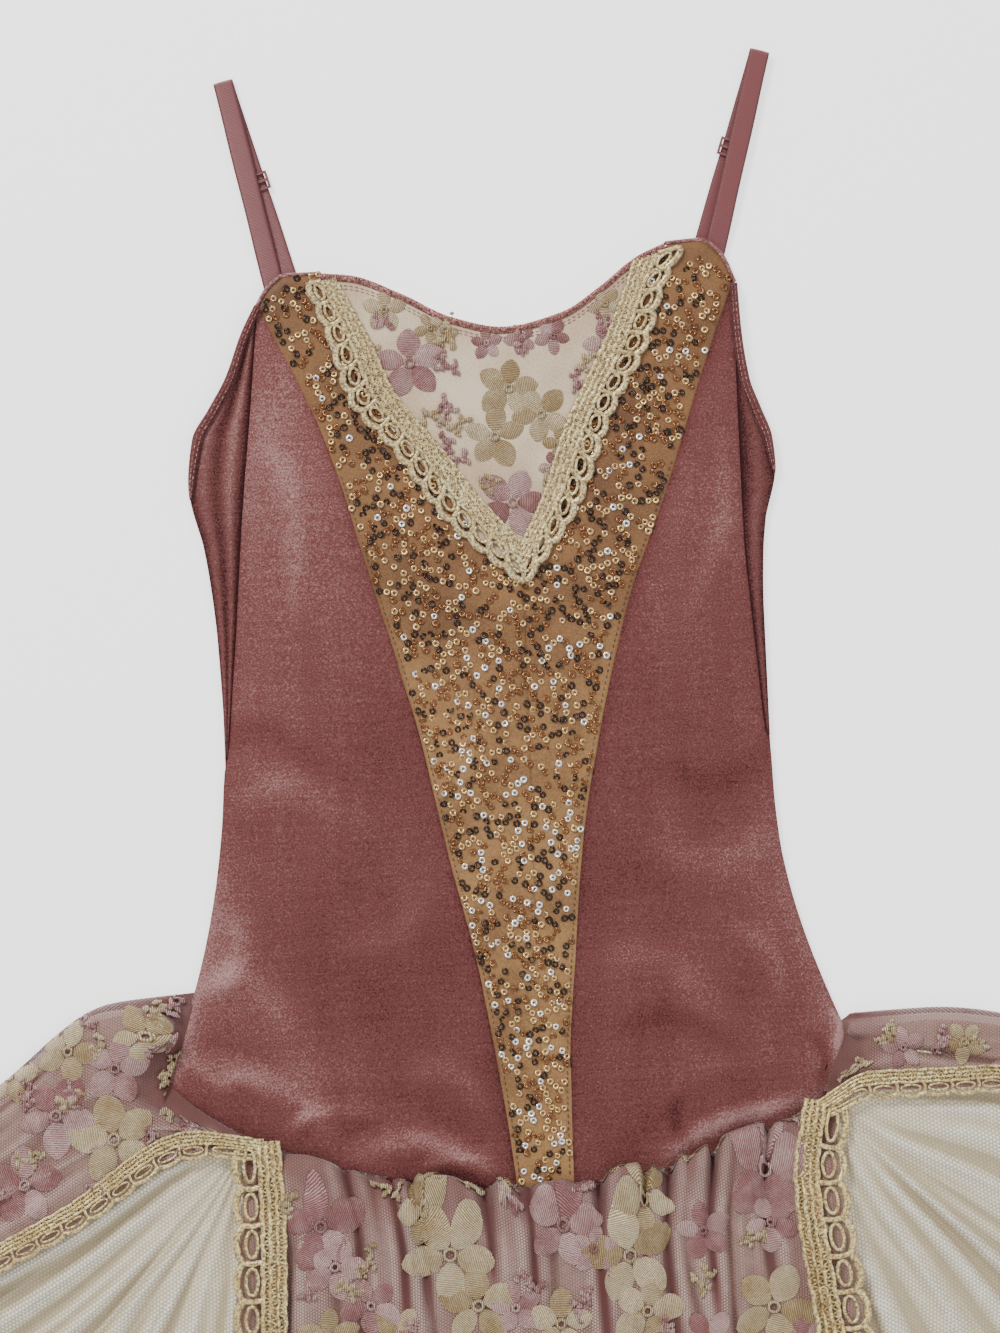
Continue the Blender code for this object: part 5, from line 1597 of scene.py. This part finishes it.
SKIRT_FLOWERS = [
    # x and y in the photograph, radius in millimetres, 0 pink or 1 gold, petals, turn
    (450, 1250, 23, 1, 5, 0.9), (628, 1250, 22, 1, 5, 0.5), (770, 1300, 20, 1, 5, 1.1),
    (560, 1318, 16, 1, 5, 0.2), (322, 1222, 20, 0, 5, 0.4), (562, 1222, 19, 0, 5, 1.3),
    (762, 1168, 21, 0, 5, 0.2), (372, 1300, 14, 0, 5, 0.8), (700, 1225, 13, 0, 5, 0.5),
    (515, 1300, 12, 0, 5, 0.5), (118, 1135, 21, 1, 5, 0.5), (60, 1112, 19, 0, 5, 0.9),
    (118, 1066, 16, 0, 5, 0.1), (142, 1034, 14, 1, 5, 0.8), (30, 1180, 18, 0, 5, 0.3),
    (70, 1050, 15, 1, 5, 1.2), (10, 1075, 14, 1, 5, 0.2), (705, 1330, 14, 0, 5, 0.9),
    (330, 1330, 14, 1, 5, 0.3), (900, 1046, 10, 0, 5, 0.4), (960, 1040, 10, 1, 5, 0.8),
    (478, 1300, 19, 1, 5, 0.3), (425, 1212, 13, 1, 5, 0.6), (645, 1304, 17, 1, 5, 0.1),
    (642, 1200, 15, 1, 5, 1.0), (768, 1218, 13, 0, 5, 0.9), (336, 1262, 15, 0, 5, 1.2),
    (592, 1244, 12, 0, 5, 0.2), (800, 1330, 13, 0, 5, 0.5), (398, 1330, 15, 1, 5, 1.0),
]
SKIRT_SPRIGS = [
    # x and y in the photograph, length in millimetres, 0 pink or 1 gold, heading in degrees
    (400, 1200, 18, 1, 120), (375, 1240, 18, 1, 250), (500, 1210, 16, 1, 60), (520, 1260, 16, 0, 280),
    (590, 1280, 16, 0, 240), (680, 1180, 20, 1, 70), (700, 1290, 16, 1, 100), (340, 1270, 16, 1, 290),
    (300, 1190, 12, 1, 200), (735, 1240, 16, 1, 30), (660, 1310, 14, 0, 300), (420, 1310, 14, 0, 230),
    (160, 1090, 16, 1, 60), (90, 1090, 16, 1, 190), (180, 1050, 14, 1, 250), (150, 1120, 14, 0, 300),
    (50, 1150, 16, 1, 200), (100, 1030, 16, 0, 140), (30, 1110, 14, 0, 100), (160, 1010, 12, 0, 20),
    (20, 1040, 16, 1, 20), (90, 1180, 14, 0, 10), (790, 1130, 14, 1, 60), (720, 1140, 14, 0, 120),
    (60, 1010, 14, 1, 170), (100, 1060, 12, 1, 100), (70, 1080, 12, 0, 300), (870, 1040, 12, 1, 10),
    (176, 1075, 16, 1, 260), (186, 1110, 16, 0, 300), (168, 1030, 16, 0, 250), (205, 1128, 14, 1, 330),
    (160, 1110, 14, 1, 20), (190, 1140, 12, 0, 200), (172, 1006, 12, 1, 200), (870, 1060, 12, 1, 200),
    (925, 1050, 12, 0, 20), (985, 1045, 12, 1, 160), (420, 1196, 10, 1, 10), (460, 1198, 12, 1, 40),
    (500, 1200, 10, 0, 330), (570, 1196, 12, 0, 20), (610, 1188, 12, 1, 70), (650, 1170, 12, 1, 40),
    (690, 1160, 14, 1, 20), (720, 1150, 10, 0, 60), (740, 1135, 12, 0, 10), (780, 1120, 10, 0, 350),
]


def in_overskirt(f, r):
    """Whether places lie on a front or side panel, clear of its edges, seam and hem."""
    left_opening, left_front, right_front, right_opening = FIRM_EDGES
    margin = 0.018
    left = f < left_opening - margin
    front = (f > left_front + margin) & (f < right_front - margin)
    right = f > right_opening + margin
    return (left | front | right) & (r > 0.03) & (r < OVERSKIRT_REACH - 0.05) & (f > 0.02) & (f < 0.98)


skirt_silk = Stitching(23)
for fx, fy, radius, tone, petals, turn in SKIRT_FLOWERS:
    skirt_silk.flower(*px(fx, fy), radius, float(tone), petals, turn)
for fx, fy, length, tone, heading in SKIRT_SPRIGS:
    skirt_silk.sprig(*px(fx, fy), length, float(tone), math.radians(heading), 4)
draw = np.random.default_rng(7)
for x, y in draw.uniform((0, 1010), (1000, 1333), (130, 2)):
    f_place, r_place = to_fan(np.array([px(x, y)]), np.array([0.3 if x < 500 else 0.7]), np.array([0.2]))
    clear = min(math.hypot(x - fx, y - fy) - 2 * radius for fx, fy, radius, *rest in SKIRT_FLOWERS)
    if in_overskirt(f_place, r_place)[0] and clear > 4:
        skirt_silk.sprig(*px(x, y), draw.uniform(6, 11), float(draw.integers(0, 2)), draw.uniform(0, 6.28), 2)
taken = np.array([px(x, y) for x, y, *rest in SKIRT_FLOWERS])
flowers = 0
for f_place, r_place, spot in zip(COARSE_F, COARSE_R, COARSE):
    if not in_overskirt(np.array(f_place), np.array(r_place)):
        continue
    gap = np.linalg.norm(taken - spot, axis=1).min()
    if gap > 40 and flowers < 80:
        flowers += 1
        taken = np.vstack([taken, spot])
        skirt_silk.flower(spot[0], spot[1], draw.uniform(15, 22), float(flowers % 2), 5, draw.uniform(0, 1.2))
        for heading in draw.uniform(0, 2 * math.pi, 3):
            x, y = spot[0] + 24 * math.cos(heading), spot[1] + 24 * math.sin(heading)
            skirt_silk.sprig(x, y, draw.uniform(12, 17), float(draw.integers(0, 2)), heading + 0.8)
skirt_flowers = skirt_silk.make("skirt_embroidery", silk.material, on_skirt)


def skirt_galloon(name, edge_name, toward, start, way, panel_way, width, cells, taper):
    """Galloon down a panel's edge, with its straight side on the panel and scallops past the edge."""
    edge = EDGES[edge_name]
    stations = np.linspace(start, OVERSKIRT_REACH - 0.005, 60)
    ray = fan(np.full((60, 1), edge), stations[:, None])[:, 0]
    target = fan(np.array([[EDGES[toward]]]), np.array([[0.0]]))[0, 0]
    pull = target - ray[0] - 4.0 * outward_of(np.array([[edge]]))[0, 0]
    along = lengths(ray)

    def place(u, v, rise):
        """The edge's ray moved out by the fraction across, on the crest of the overskirt."""
        u, v = np.broadcast_arrays(u, v)
        reach = np.interp(u / cells, along / along[-1], stations)[:, None]
        narrow = np.interp(reach[:, 0], (0.0, 0.1, 1.0), taper)
        column = np.full((len(u), 1), edge)
        middle = fan(column, reach)[:, 0]
        ahead = fan(column, np.minimum(reach + 0.01, 1.0))[:, 0] - fan(column, reach - 0.01)[:, 0]
        ahead /= np.linalg.norm(ahead, axis=1, keepdims=True)
        normal = np.column_stack([-ahead[:, 1], ahead[:, 0]])
        middle = middle + pull * (1 - smoothstep(reach, 0.0, 0.07))
        scale = scale_of(column, reach)[:, 0]
        out = (v - 0.5) * width * narrow
        on_panel = (edge + panel_way * np.maximum(-out, 0) / scale)[:, None]
        height = over_height(on_panel, reach)[:, 0]
        crest = np.maximum(height, over_height(column, reach)[:, 0])
        wave = 0.8 * np.sin(u * 1.9 + 0.7) + 0.5 * np.sin(u * 3.3)
        top = crest + NET + 2 * LAID_GAP + 0.6 + wave + rise
        return np.column_stack([middle + way * normal * out[:, None], top])

    points, faces, which = joined(galloon_parts(place, cells, 0.04 * width))
    cords = mesh_object(name + "_cords", points, faces, yellow_gold)
    u, v = np.meshgrid(np.linspace(0, cells, 160), np.linspace(0.0, 0.42, 7), indexing="ij")
    base = shells(name, [place(u.ravel(), v.ravel(), 0.0).reshape(160, 7, 3)], 0.5, shaded_gold)
    stands_for(name)
    return base, cords


FRONT, SIDE = (GALLOON_WIDTH, 15), (SIDE_GALLOON_WIDTH, 19)
GALLOONS = [
    # Galloon, its edge, the edge its end is pulled to, start, two ways, width and cells, taper
    ("skirt_galloon_front_left", "left front", "left front", 0.0, -1, 1, *FRONT, (0.9, 1, 1)),
    ("skirt_galloon_front_right", "right front", "right front", 0.0, 1, -1, *FRONT, (0.85, 1, 1.25)),
    ("skirt_galloon_side_left", "left opening", "left front", 0.0, 1, -1, *SIDE, (0.7, 1, 0.8)),
    ("skirt_galloon_side_right", "right opening", "right front", 0.0, -1, 1, *SIDE, (0.7, 1, 0.8)),
]
for row in GALLOONS:
    skirt_galloon(*row)

# %% [markdown]

# %% [markdown]
# Table, lights and camera
# The dress lies on a plain pale floor under soft studio light, and the camera looks straight down
# at the bodice, as the photograph does, turned by the little that the dress lies askew in it.

# %% Stage
bpy.ops.mesh.primitive_plane_add(size=24.0, location=(0, 0, -0.0008))
floor = bpy.context.object
floor.name = "floor"
paper = Look("paper", roughness=0.9, specular_ior_level=0.1)
cloudy = paper.noise(paper.place(), 3.0)
paper.set("Base Color", paper.mix(cloudy, (0.93, 0.925, 0.92, 1), (0.95, 0.945, 0.94, 1)))
paper.shader.inputs["Emission Color"].default_value = (1, 1, 1, 1)
paper.shader.inputs["Emission Strength"].default_value = 1.3
floor.data.materials.append(paper.material)


def area_light(name, place, size, power, colour=(1, 1, 1)):
    """A rectangular light that points at the dress from a place in metres."""
    data = bpy.data.lights.new(name, "AREA")
    data.shape = "RECTANGLE"
    data.size, data.size_y = size
    data.energy = power
    data.color = colour
    light = bpy.data.objects.new(name, data)
    light.location = place
    bpy.context.scene.collection.objects.link(light)
    aim = np.array([0, 0.05, 0]) - np.array(place)
    tilt = math.atan2(math.hypot(aim[0], aim[1]), -aim[2])
    light.rotation_euler = (tilt, 0, math.atan2(aim[1], aim[0]) - math.pi / 2)
    return light


area_light("key", (-0.9, 1.5, 1.5), (0.7, 0.7), 40.0, (1.0, 0.98, 0.95))
area_light("fill", (1.5, 0.3, 1.6), (1.6, 1.2), 11.0, (0.95, 0.97, 1.0))
area_light("front", (0.1, -1.6, 1.3), (1.6, 1.0), 7.0)
world = bpy.data.worlds.new("studio")
world.use_nodes = True
world.node_tree.nodes["Background"].inputs["Color"].default_value = (0.9, 0.92, 0.95, 1)
world.node_tree.nodes["Background"].inputs["Strength"].default_value = 0.66
bpy.context.scene.world = world

camera_data = bpy.data.cameras.new("camera")
camera = bpy.data.objects.new("camera", camera_data)
bpy.context.scene.collection.objects.link(camera)
distance = 1.6
view_height = PHOTO_HEIGHT * MM_PER_PIXEL * MM
camera_data.sensor_fit = "VERTICAL"
camera_data.sensor_height = 24.0
camera_data.lens = 24.0 * distance / view_height
middle = (CENTRE + OFFSET) * MM
camera.location = (middle[0], middle[1], distance)
camera.rotation_euler = (0, 0, -TURN)
bpy.context.scene.camera = camera
print("camera over", [round(float(c), 3) for c in middle[:2]])

# %% Triangles made
print("triangles made:", sum(made_triangles))
